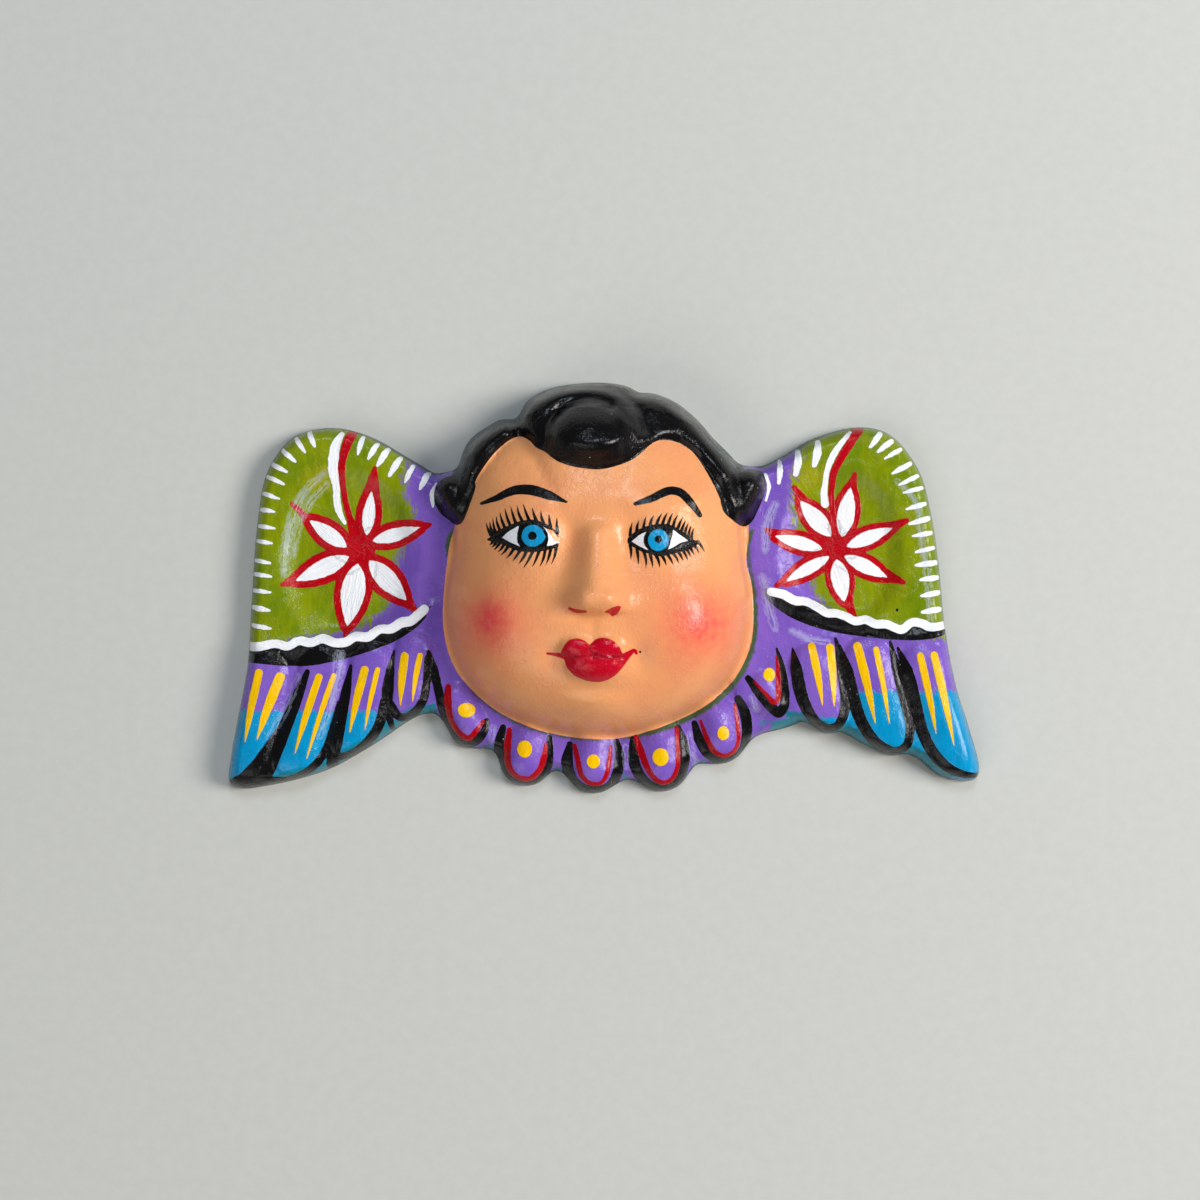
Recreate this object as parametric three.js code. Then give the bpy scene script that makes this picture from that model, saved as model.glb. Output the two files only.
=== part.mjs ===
// A winged angel mask of moulded, fired clay. It lies on its back, face up: +X runs from the
// left wing to the right wing as you look at the face, +Y to the crown of the head, +Z out of the face.
// The front is one carved surface over the plan; the back is flat, with a hollow behind the face.
import * as THREE from "three";

// Overall sizes, in millimetres
const maskWidth = 250; // wing tip to wing tip
const faceRelief = 36; // wall plane to the round of the face, without the nose
const noseRelief = 8.5; // how far the nose stands out of the face
const hairRelief = 3; // how far the hair stands out of the skin
const hairRound = 4.5; // how far into the hair its edge is rounded
const lockRelief = 2.8; // how far the locks round the crown stand out of the hair
const foreheadCurlRelief = 5.5; // how far the big curl stands out of the hair
const lockWidth = 4;
const grooveDepth = 2; // the grooves between the locks
const grooveWidth = 1.8;
const templeCurlTop = 19; // wall plane to the top of the curls at the temples
const wingThickness = 9; // wall plane to the flat of a wing
const collarThickness = 7.5; // wall plane to the plate under the collar feathers
const collarFeatherRelief = 3.4; // how far a collar feather stands out of its plate
const wingFeatherRelief = 2.6; // how far a wing feather stands out of the wing
const dishDepth = 2.8; // the shallow bowl in each wing
const ledgeRelief = 1.3; // the bead between a wing's bowl and its feathers
const ledgeWidth = 2.6;
const jointSoftness = 2.4; // rounds the clay where one form meets another
const clayWall = 6.5; // the wall of the hollow head
const lipWidth = 7.5; // the flat rim round the hollow, beside the plates
const edgeRound = 4.2; // how far in the outer edges are rounded
const notchFillet = 4; // softens the inner corners of the outline

// Fineness of the facets, in millimetres
const outlineStep = 3.2;
const faceStep = 2.7;
const featureStep = 2;
const plateStep = 4.4;
const backStep = 9;
const hollowStep = 5.6;
const rimShares = [0.12, 0.36, 0.75]; // rows inside the outline, as shares of edgeRound
const bowlRows = [0.72, 1.08]; // rows round the foot and the brim of a bowl, as shares of its size
const hollowRows = [-0.02, 0.06, 0.25]; // rows round the mouth of the hollow, as shares of lipWidth

// The plan is drawn for a mask 250.5 mm wide and its carving for a face 36 mm deep, and both are scaled
const drawnWidth = 250.5;
const drawnRelief = 36;
const planScale = maskWidth / drawnWidth;
const reliefScale = faceRelief / drawnRelief;
const reach = { x: 0.56 * maskWidth, y: 0.34 * maskWidth };

const clamp = (value, low, high) => Math.min(high, Math.max(low, value));
const fade = (from, to, value) => {
  const t = clamp((value - from) / (to - from), 0, 1);
  return t * t * (3 - 2 * t);
};
const roll = (share) => Math.sqrt(1 - (1 - clamp(share, 0, 1)) ** 2);
// The larger of two heights, rounded where they are closer than soft
const softMax = (a, b, soft) => Math.max(a, b) + Math.max(soft - Math.abs(a - b), 0) ** 2 / (4 * soft);

// Drawn places and forms, at the mask's own size
const place = ([x, y]) => new THREE.Vector2(x * planScale, y * planScale);
const spot = (x, y, wide, tall, rise = 1) => ({
  x: x * planScale,
  y: y * planScale,
  wide: wide * planScale,
  tall: tall * planScale,
  rise: rise * reliefScale,
});
const feather = (root, tip, rootHalf, tipHalf) => ({
  root: place(root),
  tip: place(tip),
  rootHalf: rootHalf * planScale,
  tipHalf: tipHalf * planScale,
});
const path = (...points) => new THREE.SplineCurve(points.map(place)).getPoints(4 * points.length);

function closedLine(...points) {
  const corners = points.map(place).map(({ x, y }) => new THREE.Vector3(x, y, 0));
  return new THREE.CatmullRomCurve3(corners, true, "centripetal").getPoints(6 * points.length).slice(1);
}

const fromSpot = (x, y, { x: left, y: low, wide, tall }) => Math.hypot((x - left) / wide, (y - low) / tall);
const bell = (x, y, form) => form.rise * Math.exp(-(fromSpot(x, y, form) ** 2));
const mound = (x, y, form) => form.rise * Math.sqrt(Math.max(0, 1 - fromSpot(x, y, form) ** 2));

// Distance from a point to one straight piece, and how far along the piece it falls
function toPiece(x, y, a, b) {
  const dx = b.x - a.x;
  const dy = b.y - a.y;
  const along = clamp(((x - a.x) * dx + (y - a.y) * dy) / (dx * dx + dy * dy), 0, 1);
  return { along, away: Math.hypot(x - a.x - along * dx, y - a.y - along * dy) };
}

function isWithin(x, y, loop) {
  let within = false;
  loop.forEach((a, i) => {
    const b = loop[(i + 1) % loop.length];
    if (a.y > y !== b.y > y && x < ((b.x - a.x) * (y - a.y)) / (b.y - a.y) + a.x) within = !within;
  });
  return within;
}

function toLine(x, y, line) {
  let nearest = Infinity;
  for (let i = 0; i + 1 < line.length; i++) {
    nearest = Math.min(nearest, toPiece(x, y, line[i], line[i + 1]).away);
  }
  return nearest;
}

// Distance to the edge of a closed loop, positive inside it
const insideLoop = (x, y, loop) => (isWithin(x, y, loop) ? 1 : -1) * toLine(x, y, [...loop, loop[0]]);

// Distance to the edge of a straight feather with round ends, positive inside it
function insideFeather(x, y, { root, tip, rootHalf, tipHalf }) {
  const { along, away } = toPiece(x, y, root, tip);
  return rootHalf + (tipHalf - rootHalf) * along - away;
}

// The wings: outline, bowl, the bead under the bowl and the feathers below it
const leftWing = {
  outline: closedLine(
    [-44, 28], [-56.4, 37.5], [-67, 44], [-77.6, 49.9], [-90.5, 53], [-103.7, 49.7], [-112.3, 38.5],
    [-115.6, 22], [-117.6, -4.5], [-118.9, -25.6], [-121.7, -41.4], [-124.5, -56.6], [-124.9, -65.3],
    [-120.9, -67.4],
    [-112.6, -66.6], [-93.1, -61.6], [-77.6, -53.3], [-61.7, -43.1], [-54, -41.4], [-42, -30],
  ),
  bowl: spot(-84.5, 9, 23, 29.5),
  bead: path([-118.5, -18.5], [-103, -19.8], [-86, -18.2], [-70, -13.4], [-57.2, -7]),
  feathers: [
    feather([-112.4, -28], [-117.2, -57], 7.6, 7.2),
    feather([-93, -28], [-102.4, -56.5], 8, 7.4),
    feather([-76.6, -25.8], [-83.4, -49.5], 7.6, 7.2),
    feather([-63, -21], [-65.4, -36.4], 6.2, 6),
  ],
};
const rightWing = {
  outline: closedLine(
    [40, 30], [49.2, 37.8], [60.8, 44.1], [68.8, 48.8], [84.9, 53.2], [95.5, 50.7], [105.1, 38.8],
    [109.2, 24.6], [111.7, 8.2], [114, -14.4], [117.8, -34], [121.6, -46.1], [125.3, -61.9],
    [123.2, -64.7], [112.3, -63.3],
    [104.7, -57.6], [100.8, -56], [95.8, -56.5], [86.6, -52.7], [79, -48.7], [74.5, -49.1], [66.7, -45.2],
    [61.4, -44.7], [41.6, -37.5],
  ),
  bowl: spot(78.5, 11.5, 20.5, 28),
  bead: path([54, -1.2], [64, -6.8], [78, -10.6], [92, -14.4], [100, -17], [114.4, -14.4]),
  feathers: [
    feather([68.8, -26], [73.8, -42], 7.4, 7),
    feather([87.2, -24.6], [94, -47.6], 8.2, 8),
    feather([106, -27], [115.4, -54.6], 8.4, 7.4),
  ],
};

const featherLine = -14 * planScale; // the feathers lie below this

// The collar: a plate under the chin that carries six short feathers
const collar = {
  outline: closedLine(
    [-54, -40], [-37.6, -54.6], [-15.5, -61.2], [8.3, -64.4], [31.4, -59.2], [53.2, -49], [64, -44],
    [45, -22],
    [0, -20], [-46, -24],
  ),
  feathers: [
    feather([-49.2, -35.8], [-44.2, -46.4], 7.4, 7.6),
    feather([-25.1, -51.4], [-26, -57.8], 8.6, 8.8),
    feather([-3.4, -52.4], [-3.4, -59.6], 9.2, 9.5),
    feather([18.8, -51.4], [19.2, -59], 9.2, 9.5),
    feather([37, -42.4], [38.6, -50.4], 8.6, 8.8),
    feather([52.8, -31.4], [55.6, -38.8], 7.4, 7.8),
  ],
};

// The head's outline as radii at every 15 degrees from the crown, down either side to the chin
const headCentre = place([-2, -1.2]);
const headRadii = [69.3, 68.2, 65.9, 62.8, 56, 50.4, 50.8, 52.6, 53.7, 52.5, 50.5, 49.2, 49].map(
  (radius) => radius * planScale,
);
const radiusTurn = Math.PI / (headRadii.length - 1);

// The hair: its edge over the forehead, the big curl, the curls at the temples and the grooves
const hairline = path(
  [-47, 20], [-43.6, 30.2], [-38.2, 39], [-30.6, 47.4], [-25.2, 48.2], [-20.4, 43.6], [-13.2, 39.6],
  [-4, 37.8],
  [5, 39], [12.8, 43.8], [19, 47.4], [26, 45.8], [32.6, 39.6], [38.6, 30], [42, 18],
);
const forehead = [...hairline, ...[[60, -70], [-60, -70]].map(place)];
const foreheadCurl = spot(-3.2, 49, 16.4, 11.8, foreheadCurlRelief / reliefScale);
const templeCurls = [
  feather([-50.4, 31.8], [-48.4, 27], 6.6, 6.2),
  feather([47.4, 33], [44.8, 26.6], 7, 6.4),
];
const locks = [
  path([-28.9, 54], [-24, 58.8], [-15.9, 62.7], [-4.5, 63.7], [3.6, 61.1], [9.4, 55.6]),
  path([11.7, 62.7], [20.8, 57.9], [31.2, 49.4], [38.3, 40.3], [43.5, 33.8], [45.8, 26.4]),
  path([-33.8, 50.7], [-40.2, 46.2], [-45.1, 39.4], [-48.4, 31.2]),
];
const hairGrooves = [
  path([-19.4, 46], [-17.6, 53.4], [-11.6, 60], [-3, 61.6], [2.4, 58.6]),
  path([-2.6, 66.4], [5.6, 63.4], [11.6, 57.6], [14.6, 50.6]),
  path([-27.4, 48.6], [-30.2, 53], [-33.4, 57.6]),
];

// The face: soft forms as centre, half width, half height and rise
const faceForms = {
  leftCheek: spot(-33, -14, 17, 18, 3.2),
  rightCheek: spot(29, -14, 17, 18, 3.2),
  aroundMouth: spot(-3, -22, 14, 13, 2.6),
  chin: spot(-1.6, -38.4, 11, 6.5, 2.6),
  underLip: spot(-3, -33.6, 8, 2.4, -1.3),
  leftMouthCorner: spot(-16.6, -22.6, 3.6, 5, -1.5),
  rightMouthCorner: spot(11, -22.6, 3.6, 5, -1.5),
  leftOfBridge: spot(-11.6, 14, 4.6, 8, -2),
  rightOfBridge: spot(7.6, 14, 4.6, 8, -2),
  leftBrow: spot(-22.6, 27, 13, 4.5, 1),
  rightBrow: spot(18.4, 27, 13, 4.5, 1),
};
const faceMounds = {
  leftEye: spot(-22.8, 16, 11.4, 7.6, 1.7),
  rightEye: spot(17.6, 14.8, 11.4, 7.6, 1.7),
  upperLipLeft: spot(-8.8, -20, 5.6, 3.6, 1.9),
  upperLipRight: spot(1.2, -20, 5.6, 3.6, 1.9),
  lowerLip: spot(-3.6, -26, 9, 4.4, 2.4),
  leftNostrilWing: spot(-10, -4.4, 4.6, 4.8, 3),
  rightNostrilWing: spot(5.4, -4.4, 4.6, 4.8, 3),
};
const featureField = spot(-2.4, -5, 24, 33);
const nose = { x: -2.4, bridge: 22, tip: -2, base: -8.8, narrow: 4.4, broad: 8 };
for (const side of Object.keys(nose)) nose[side] *= planScale;

// Catmull-Rom through the head's radii, which mirror at the crown and at the chin
function headRadius(x, y) {
  const turn = Math.abs(Math.atan2(x - headCentre.x, y - headCentre.y)) / radiusTurn;
  const last = headRadii.length - 1;
  const at = (i) => headRadii[i > last ? 2 * last - i : Math.abs(i)];
  const i = Math.min(Math.floor(turn), last - 1);
  const t = turn - i;
  const [a, b, c, d] = [at(i - 1), at(i), at(i + 1), at(i + 2)];
  return b + 0.5 * t * (c - a + t * (2 * a - 5 * b + 4 * c - d + t * (3 * (b - c) + d - a)));
}

const fromHead = (x, y) => Math.hypot(x - headCentre.x, y - headCentre.y);
const dome = (share) => Math.sqrt(Math.max(0, 1 - share ** 2.8));

// How far a point lies inside the mask's outline
function insideMask(x, y) {
  const plates = [leftWing.outline, rightWing.outline, collar.outline].map((loop) => insideLoop(x, y, loop));
  const feathers = [...collar.feathers, ...templeCurls].map((form) => insideFeather(x, y, form));
  const head = headRadius(x, y) - fromHead(x, y);
  return [...plates, ...feathers].reduce((deepest, inside) => softMax(deepest, inside, notchFillet), head);
}

function noseHeight(x, y) {
  const down = clamp((nose.bridge - y) / (nose.bridge - nose.tip), 0, 1);
  const wide = nose.narrow + (nose.broad - nose.narrow) * down ** 1.5;
  const under = y < nose.tip ? roll((y - nose.base) / (nose.tip - nose.base)) : 1;
  const across = Math.exp(-((Math.abs(x - nose.x) / wide) ** 2.4));
  return noseRelief * (0.12 * fade(0, 0.2, down) + 0.88 * down ** 1.7) * under * across;
}

// Distance into the hair from its edge over the forehead, positive in the hair
const intoHair = (x, y) => (isWithin(x, y, forehead) ? -1 : 1) * toLine(x, y, hairline);

function hairHeight(x, y) {
  const depth = intoHair(x, y);
  if (depth <= 0) return 0;
  let height = hairRelief * roll(depth / hairRound);
  for (const lock of locks) height += lockRelief * Math.exp(-((toLine(x, y, lock) / lockWidth) ** 2));
  for (const groove of hairGrooves) {
    height -= grooveDepth * Math.exp(-((toLine(x, y, groove) / grooveWidth) ** 2));
  }
  return height + mound(x, y, foreheadCurl) * fade(0, hairRound, depth);
}

function headHeight(x, y) {
  const share = fromHead(x, y) / headRadius(x, y);
  if (share >= 1) return 0;
  const forms = [...Object.values(faceForms).map((form) => bell(x, y, form))];
  for (const form of Object.values(faceMounds)) forms.push(mound(x, y, form));
  const carving = forms.reduce((sum, rise) => sum + rise, noseHeight(x, y));
  return faceRelief * dome(share) + fade(1, 0.8, share) * carving + fade(1, 0.93, share) * hairHeight(x, y);
}

function wingHeight(x, y, wing) {
  const inside = insideLoop(x, y, wing.outline);
  if (inside <= 0) return 0;
  const toBead = toLine(x, y, wing.bead);
  const feathers = wing.feathers.map((form) => roll(insideFeather(x, y, form) / form.rootHalf));
  const rise =
    ledgeRelief * Math.exp(-((toBead / ledgeWidth) ** 2)) +
    wingFeatherRelief * Math.max(...feathers) -
    dishDepth * fade(bowlRows[1], bowlRows[0], fromSpot(x, y, wing.bowl)) * fade(0, 2 * ledgeWidth, toBead);
  return (wingThickness + rise) * roll(inside / edgeRound);
}

function collarHeight(x, y) {
  let height = collarThickness * roll(insideLoop(x, y, collar.outline) / edgeRound);
  for (const form of collar.feathers) {
    const rise = (collarThickness + collarFeatherRelief) * roll(insideFeather(x, y, form) / form.tipHalf);
    height = softMax(height, rise, jointSoftness);
  }
  return height;
}

function templeCurlHeight(x, y) {
  const rolls = templeCurls.map((form) => roll(insideFeather(x, y, form) / form.rootHalf));
  return templeCurlTop * Math.max(...rolls);
}

// Height of the carved front over a point inside the outline, brought down to the wall at the outline
function frontHeight(x, y) {
  const plates = Math.max(wingHeight(x, y, leftWing), wingHeight(x, y, rightWing), collarHeight(x, y));
  const head = Math.max(headHeight(x, y), templeCurlHeight(x, y));
  return softMax(plates, head, jointSoftness) * roll(0.08 + insideMask(x, y) / (0.6 * edgeRound));
}

// Height of the hollow behind the face, 0 on the flat back
const hollowRadius = (x, y) => headRadius(x, y) - lipWidth;
const hollowHeight = (x, y) => (faceRelief - clayWall) * dome(fromHead(x, y) / hollowRadius(x, y));

// Walks the line where the outline's distance changes sign, on a grid, and returns it as a closed loop
function traceOutline(step) {
  const at = (i, j) => new THREE.Vector2(i * step - reach.x, j * step - reach.y);
  const isInside = ({ x, y }) => insideMask(x, y) > 0;
  const columns = Math.ceil((2 * reach.x) / step);
  const rows = Math.ceil((2 * reach.y) / step);
  const inside = [];
  for (let i = 0; i <= columns; i++) {
    inside.push([]);
    for (let j = 0; j <= rows; j++) inside[i].push(isInside(at(i, j)));
  }
  const places = new Map();
  const links = new Map();
  const crossing = (key, [i, j], [k, l]) => {
    if (inside[i][j] === inside[k][l]) return [];
    let [low, high] = inside[i][j] ? [at(i, j), at(k, l)] : [at(k, l), at(i, j)];
    for (let turn = 0; turn < 20; turn++) {
      const middle = low.clone().lerp(high, 0.5);
      if (isInside(middle)) low = middle;
      else high = middle;
    }
    places.set(key, low);
    links.set(key, links.get(key) ?? []);
    return [key];
  };
  for (let i = 0; i < columns; i++) {
    for (let j = 0; j < rows; j++) {
      const found = [
        ...crossing(`across ${i} ${j}`, [i, j], [i + 1, j]),
        ...crossing(`up ${i + 1} ${j}`, [i + 1, j], [i + 1, j + 1]),
        ...crossing(`across ${i} ${j + 1}`, [i, j + 1], [i + 1, j + 1]),
        ...crossing(`up ${i} ${j}`, [i, j], [i, j + 1]),
      ];
      for (let k = 0; k + 1 < found.length; k += 2) {
        links.get(found[k]).push(found[k + 1]);
        links.get(found[k + 1]).push(found[k]);
      }
    }
  }
  const loop = [];
  const seen = new Set();
  for (let key = links.keys().next().value; key; key = links.get(key).find((next) => !seen.has(next))) {
    seen.add(key);
    loop.push(places.get(key));
  }
  return THREE.ShapeUtils.area(loop) > 0 ? loop : loop.reverse();
}

// Points at even steps along a line
function evenSteps(line, step) {
  const lengths = line.slice(1).map((point, i) => point.distanceTo(line[i]));
  const total = lengths.reduce((sum, length) => sum + length, 0);
  const even = total / Math.round(total / step);
  const points = [];
  let passed = 0;
  lengths.forEach((length, i) => {
    for (; points.length * even < passed + length; ) {
      points.push(line[i].clone().lerp(line[i + 1], (points.length * even - passed) / length));
    }
    passed += length;
  });
  return points;
}

// Points at even steps beside a line, to its left
function beside(line, offset, step) {
  const even = evenSteps(line, step);
  return even.slice(1, -1).map((point, i) => {
    const along = even[i + 2].clone().sub(even[i]).normalize();
    return new THREE.Vector2(point.x - along.y * offset, point.y + along.x * offset);
  });
}

// A point's own small shift, the same on every run, which keeps points off one line or circle
const shift = (i) => 0.05 * (((i * 0.618034) % 1) - 0.5);

// Points of a triangular grid, keeping those that the test accepts
function gridPoints(step, accepts) {
  const points = [];
  const rise = step * Math.sqrt(0.75);
  for (let j = 0; j * rise < 2 * reach.y; j++) {
    for (let i = 0; i * step < 2 * reach.x; i++) {
      const x = (i + (j % 2) / 2) * step - reach.x + shift(i + 7 * j);
      const y = j * rise - reach.y + shift(3 * i + j);
      if (accepts(x, y)) points.push(new THREE.Vector2(x, y));
    }
  }
  return points;
}

// The outline moved inwards, where the mask is wide enough for it
function insetPoints(outline, inset) {
  const probe = 0.05;
  const moved = outline.map(({ x, y }, i) => {
    const dx = insideMask(x + probe, y) - insideMask(x - probe, y);
    const dy = insideMask(x, y + probe) - insideMask(x, y - probe);
    const further = (inset + shift(i)) / Math.hypot(dx, dy);
    return new THREE.Vector2(x + dx * further, y + dy * further);
  });
  return moved.filter(({ x, y }) => Math.abs(insideMask(x, y) - inset) < 0.25 * inset);
}

function ringAround(radiusOf, step) {
  const ring = [];
  for (let degree = 0; degree <= 360; degree += 2) {
    const way = new THREE.Vector2(1, 0).rotateAround(new THREE.Vector2(), THREE.MathUtils.degToRad(degree));
    const toward = way.clone().add(headCentre);
    ring.push(way.multiplyScalar(radiusOf(toward.x, toward.y)).add(headCentre));
  }
  return evenSteps(ring, step);
}

function ringOnSpot({ x, y, wide, tall }, share, step) {
  const ellipse = new THREE.EllipseCurve(x, y, share * wide, share * tall);
  return evenSteps(ellipse.getPoints(72), step);
}

function addClear(points, more, clear) {
  for (const point of more) {
    if (points.every((other) => other.distanceTo(point) > clear)) points.push(point);
  }
}

// Rows along the ledge's bead and down both its sides
const beadSides = [-2, -1, 0, 1, 2];
const beadRows = ({ bead }) => beadSides.flatMap((side) => beside(bead, side * ledgeWidth, faceStep));

// Rows along the bottom of a groove in the hair and its two brims
const grooveRows = (groove) => [-1, 0, 1].flatMap((side) => beside(groove, side * grooveWidth, featureStep));

// Rows round the foot and the brim of a wing's bowl
const bowlRings = ({ bowl }) => bowlRows.flatMap((share) => ringOnSpot(bowl, share, faceStep));

// Rows along both edges and the middle of a feather
function featherRows({ root, tip, tipHalf }) {
  return [-1, 0, 1].flatMap((side) => beside([root, tip], side * tipHalf, faceStep));
}

// The points of the front: rows along the edges and the grooves, then grids, finest over the features
function frontPoints(outline) {
  const points = rimShares.flatMap((share) => insetPoints(outline, share * edgeRound));
  const isInland = ({ x, y }) => insideMask(x, y) > edgeRound;
  const isHead = (x, y) => fromHead(x, y) < headRadius(x, y);
  const isCurl = (x, y) => templeCurls.some((form) => insideFeather(x, y, form) > -0.2 * form.rootHalf);
  const isHair = (x, y) => isHead(x, y) && intoHair(x, y) > 0;
  const isFeature = (x, y) => mound(x, y, featureField) > 0 || isCurl(x, y) || isHair(x, y);
  const isFeathered = (x, y) => y < featherLine;
  const rows = [
    ...[-0.1, 0.25, 0.7].flatMap((share) => beside(hairline, share * hairRound, faceStep)),
    ...[0.3, 2.2].flatMap((inset) => ringAround((x, y) => headRadius(x, y) - inset, faceStep)),
    ...hairGrooves.flatMap(grooveRows),
    ...[leftWing, rightWing].flatMap(beadRows),
    ...Object.values(faceMounds).flatMap((form) => ringOnSpot(form, 1, featureStep)),
    ...[leftWing, rightWing].flatMap(bowlRings),
    ...[leftWing, rightWing, collar].flatMap((plate) => plate.feathers.flatMap(featherRows)),
  ];
  addClear(points, rows.filter(isInland), 0.7 * featureStep);
  for (const [step, accepts] of [
    [featureStep, isFeature],
    [faceStep, (x, y) => isHead(x, y) || isFeathered(x, y)],
    [plateStep, () => true],
  ]) {
    addClear(points, gridPoints(step, accepts).filter(isInland), 0.7 * step);
  }
  return points;
}

// The points of the back: rows round the mouth of the hollow, then grids
function backPoints() {
  const ring = (share) => ringAround((x, y) => hollowRadius(x, y) - share * lipWidth, hollowStep);
  const isHollow = (x, y) => fromHead(x, y) < hollowRadius(x, y);
  const isBack = (x, y) => !isHollow(x, y) && insideMask(x, y) > edgeRound;
  const points = hollowRows.flatMap(ring);
  addClear(points, gridPoints(hollowStep, isHollow), 0.7 * hollowStep);
  addClear(points, gridPoints(backStep, isBack), 0.7 * backStep);
  return points;
}

// Delaunay triangles, counter-clockwise, made by adding the points one at a time from left to right
function delaunay(points) {
  const far = 20 * maskWidth;
  const all = [...points, ...[[-far, -far], [far, -far], [0, far]].map(([x, y]) => new THREE.Vector2(x, y))];
  const circled = (...corners) => {
    const [a, b, c] = corners.map((i) => all[i]);
    const [ax, ay, bx, by] = [b.x - a.x, b.y - a.y, c.x - a.x, c.y - a.y];
    const [reachA, reachB, twice] = [ax * ax + ay * ay, bx * bx + by * by, 2 * (ax * by - ay * bx)];
    const x = (by * reachA - ay * reachB) / twice;
    const y = (ax * reachB - bx * reachA) / twice;
    return { corners, x: a.x + x, y: a.y + y, reach: x * x + y * y };
  };
  const done = [];
  let open = [circled(points.length, points.length + 1, points.length + 2)];
  for (const i of [...points.keys()].sort((i, j) => points[i].x - points[j].x)) {
    const edges = new Map();
    const kept = [];
    for (const triangle of open) {
      const [dx, dy] = [points[i].x - triangle.x, points[i].y - triangle.y];
      if (dx > 0 && dx * dx > triangle.reach) done.push(triangle);
      else if (dx * dx + dy * dy > triangle.reach) kept.push(triangle);
      else {
        triangle.corners.forEach((from, k) => {
          const to = triangle.corners[(k + 1) % 3];
          if (!edges.delete(`${to} ${from}`)) edges.set(`${from} ${to}`, [from, to]);
        });
      }
    }
    for (const [from, to] of edges.values()) kept.push(circled(from, to, i));
    open = kept;
  }
  const triangles = [...done, ...open].map(({ corners }) => corners);
  return triangles.filter((corners) => Math.max(...corners) < points.length);
}

// Triangles over the outline and the points inside it, with the outline's steps that they miss
function meshOver(outline, inner) {
  const points = [...outline, ...inner];
  const triangles = delaunay(points).filter((corners) => {
    const [a, b, c] = corners.map((i) => points[i]);
    return isWithin((a.x + b.x + c.x) / 3, (a.y + b.y + c.y) / 3, outline);
  });
  const edges = new Set(triangles.flatMap(([a, b, c]) => [`${a} ${b}`, `${b} ${c}`, `${c} ${a}`]));
  const missed = [...outline.keys()].filter((i) => !edges.has(`${i} ${(i + 1) % outline.length}`));
  return { inner, triangles, missed };
}

// The closed solid: the front and the back share the outline, which lies in the wall plane
function maskGeometry() {
  const traced = traceOutline(outlineStep / 2);
  let outline = evenSteps([...traced, traced[0]], outlineStep);
  let front;
  let back;
  for (;;) {
    front = meshOver(outline, frontPoints(outline));
    back = meshOver(outline, backPoints());
    const missed = new Set([...front.missed, ...back.missed]);
    if (missed.size === 0) break;
    const halfway = (i) => outline[i].clone().lerp(outline[(i + 1) % outline.length], 0.5);
    outline = outline.flatMap((point, i) => (missed.has(i) ? [point, halfway(i)] : [point]));
  }
  const middle = new THREE.Box2().setFromPoints(outline).getCenter(new THREE.Vector2());
  const corners = [
    ...outline.map(({ x, y }) => [x, y, 0]),
    ...front.inner.map(({ x, y }) => [x, y, frontHeight(x, y)]),
    ...back.inner.map(({ x, y }) => [x, y, hollowHeight(x, y)]),
  ].flatMap(([x, y, z]) => [x - middle.x, y - middle.y, z]);
  const ofBack = (i) => (i < outline.length ? i : i + front.inner.length);
  const behind = back.triangles.map(([a, b, c]) => [a, c, b].map(ofBack));
  const geometry = new THREE.BufferGeometry();
  geometry.setAttribute("position", new THREE.Float32BufferAttribute(corners, 3));
  geometry.setIndex([...front.triangles, ...behind].flat());
  geometry.computeVertexNormals();
  return geometry;
}

const paintedClay = new THREE.MeshStandardMaterial({ color: 0x8a66c8, roughness: 0.4, metalness: 0 });
const mask = new THREE.Mesh(maskGeometry(), paintedClay);
mask.name = "angel_mask";

const angelMask = new THREE.Group();
angelMask.add(mask);

export default angelMask;
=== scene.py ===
import math

import bpy
import numpy as np
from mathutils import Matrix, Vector
from mathutils.geometry import delaunay_2d_cdt


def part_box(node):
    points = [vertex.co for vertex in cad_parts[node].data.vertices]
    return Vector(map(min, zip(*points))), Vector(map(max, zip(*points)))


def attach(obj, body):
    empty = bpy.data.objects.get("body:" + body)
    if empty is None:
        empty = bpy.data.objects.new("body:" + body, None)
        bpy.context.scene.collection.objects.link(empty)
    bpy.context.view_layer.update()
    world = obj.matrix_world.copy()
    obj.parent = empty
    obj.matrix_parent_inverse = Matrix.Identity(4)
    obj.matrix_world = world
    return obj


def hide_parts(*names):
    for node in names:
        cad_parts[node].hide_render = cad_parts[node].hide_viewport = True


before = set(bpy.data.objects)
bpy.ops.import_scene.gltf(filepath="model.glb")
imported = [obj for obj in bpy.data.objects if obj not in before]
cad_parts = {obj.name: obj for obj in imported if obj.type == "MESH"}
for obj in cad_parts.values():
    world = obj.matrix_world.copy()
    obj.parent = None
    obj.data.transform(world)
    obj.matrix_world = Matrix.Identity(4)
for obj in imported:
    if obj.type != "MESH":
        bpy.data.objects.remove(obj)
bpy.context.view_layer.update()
mm = 0.001

# The photo's view: straight down on the mask, 400 mm across the frame
view = dict(x=-1.3, y=-4.0, height=900, lens=81, sensorWidth=36)

cameraData = bpy.data.cameras.new("camera")
cameraData.lens = view["lens"]
cameraData.sensor_width = view["sensorWidth"]
camera = bpy.data.objects.new("camera", cameraData)
camera.location = (view["x"] * mm, view["y"] * mm, view["height"] * mm)
bpy.context.collection.objects.link(camera)
bpy.context.scene.camera = camera
bpy.context.scene.view_settings.view_transform = "Standard"


# Drawing in the plan

def fade(start, end, value):
    t = np.clip((value - start) / (end - start), 0, 1)
    return t * t * (3 - 2 * t)


def roundOver(share):
    return np.sqrt(1 - (1 - np.clip(share, 0, 1)) ** 2)


def softMax(a, b, soft):
    return np.maximum(a, b) + np.maximum(soft - np.abs(a - b), 0) ** 2 / (4 * soft)


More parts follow.
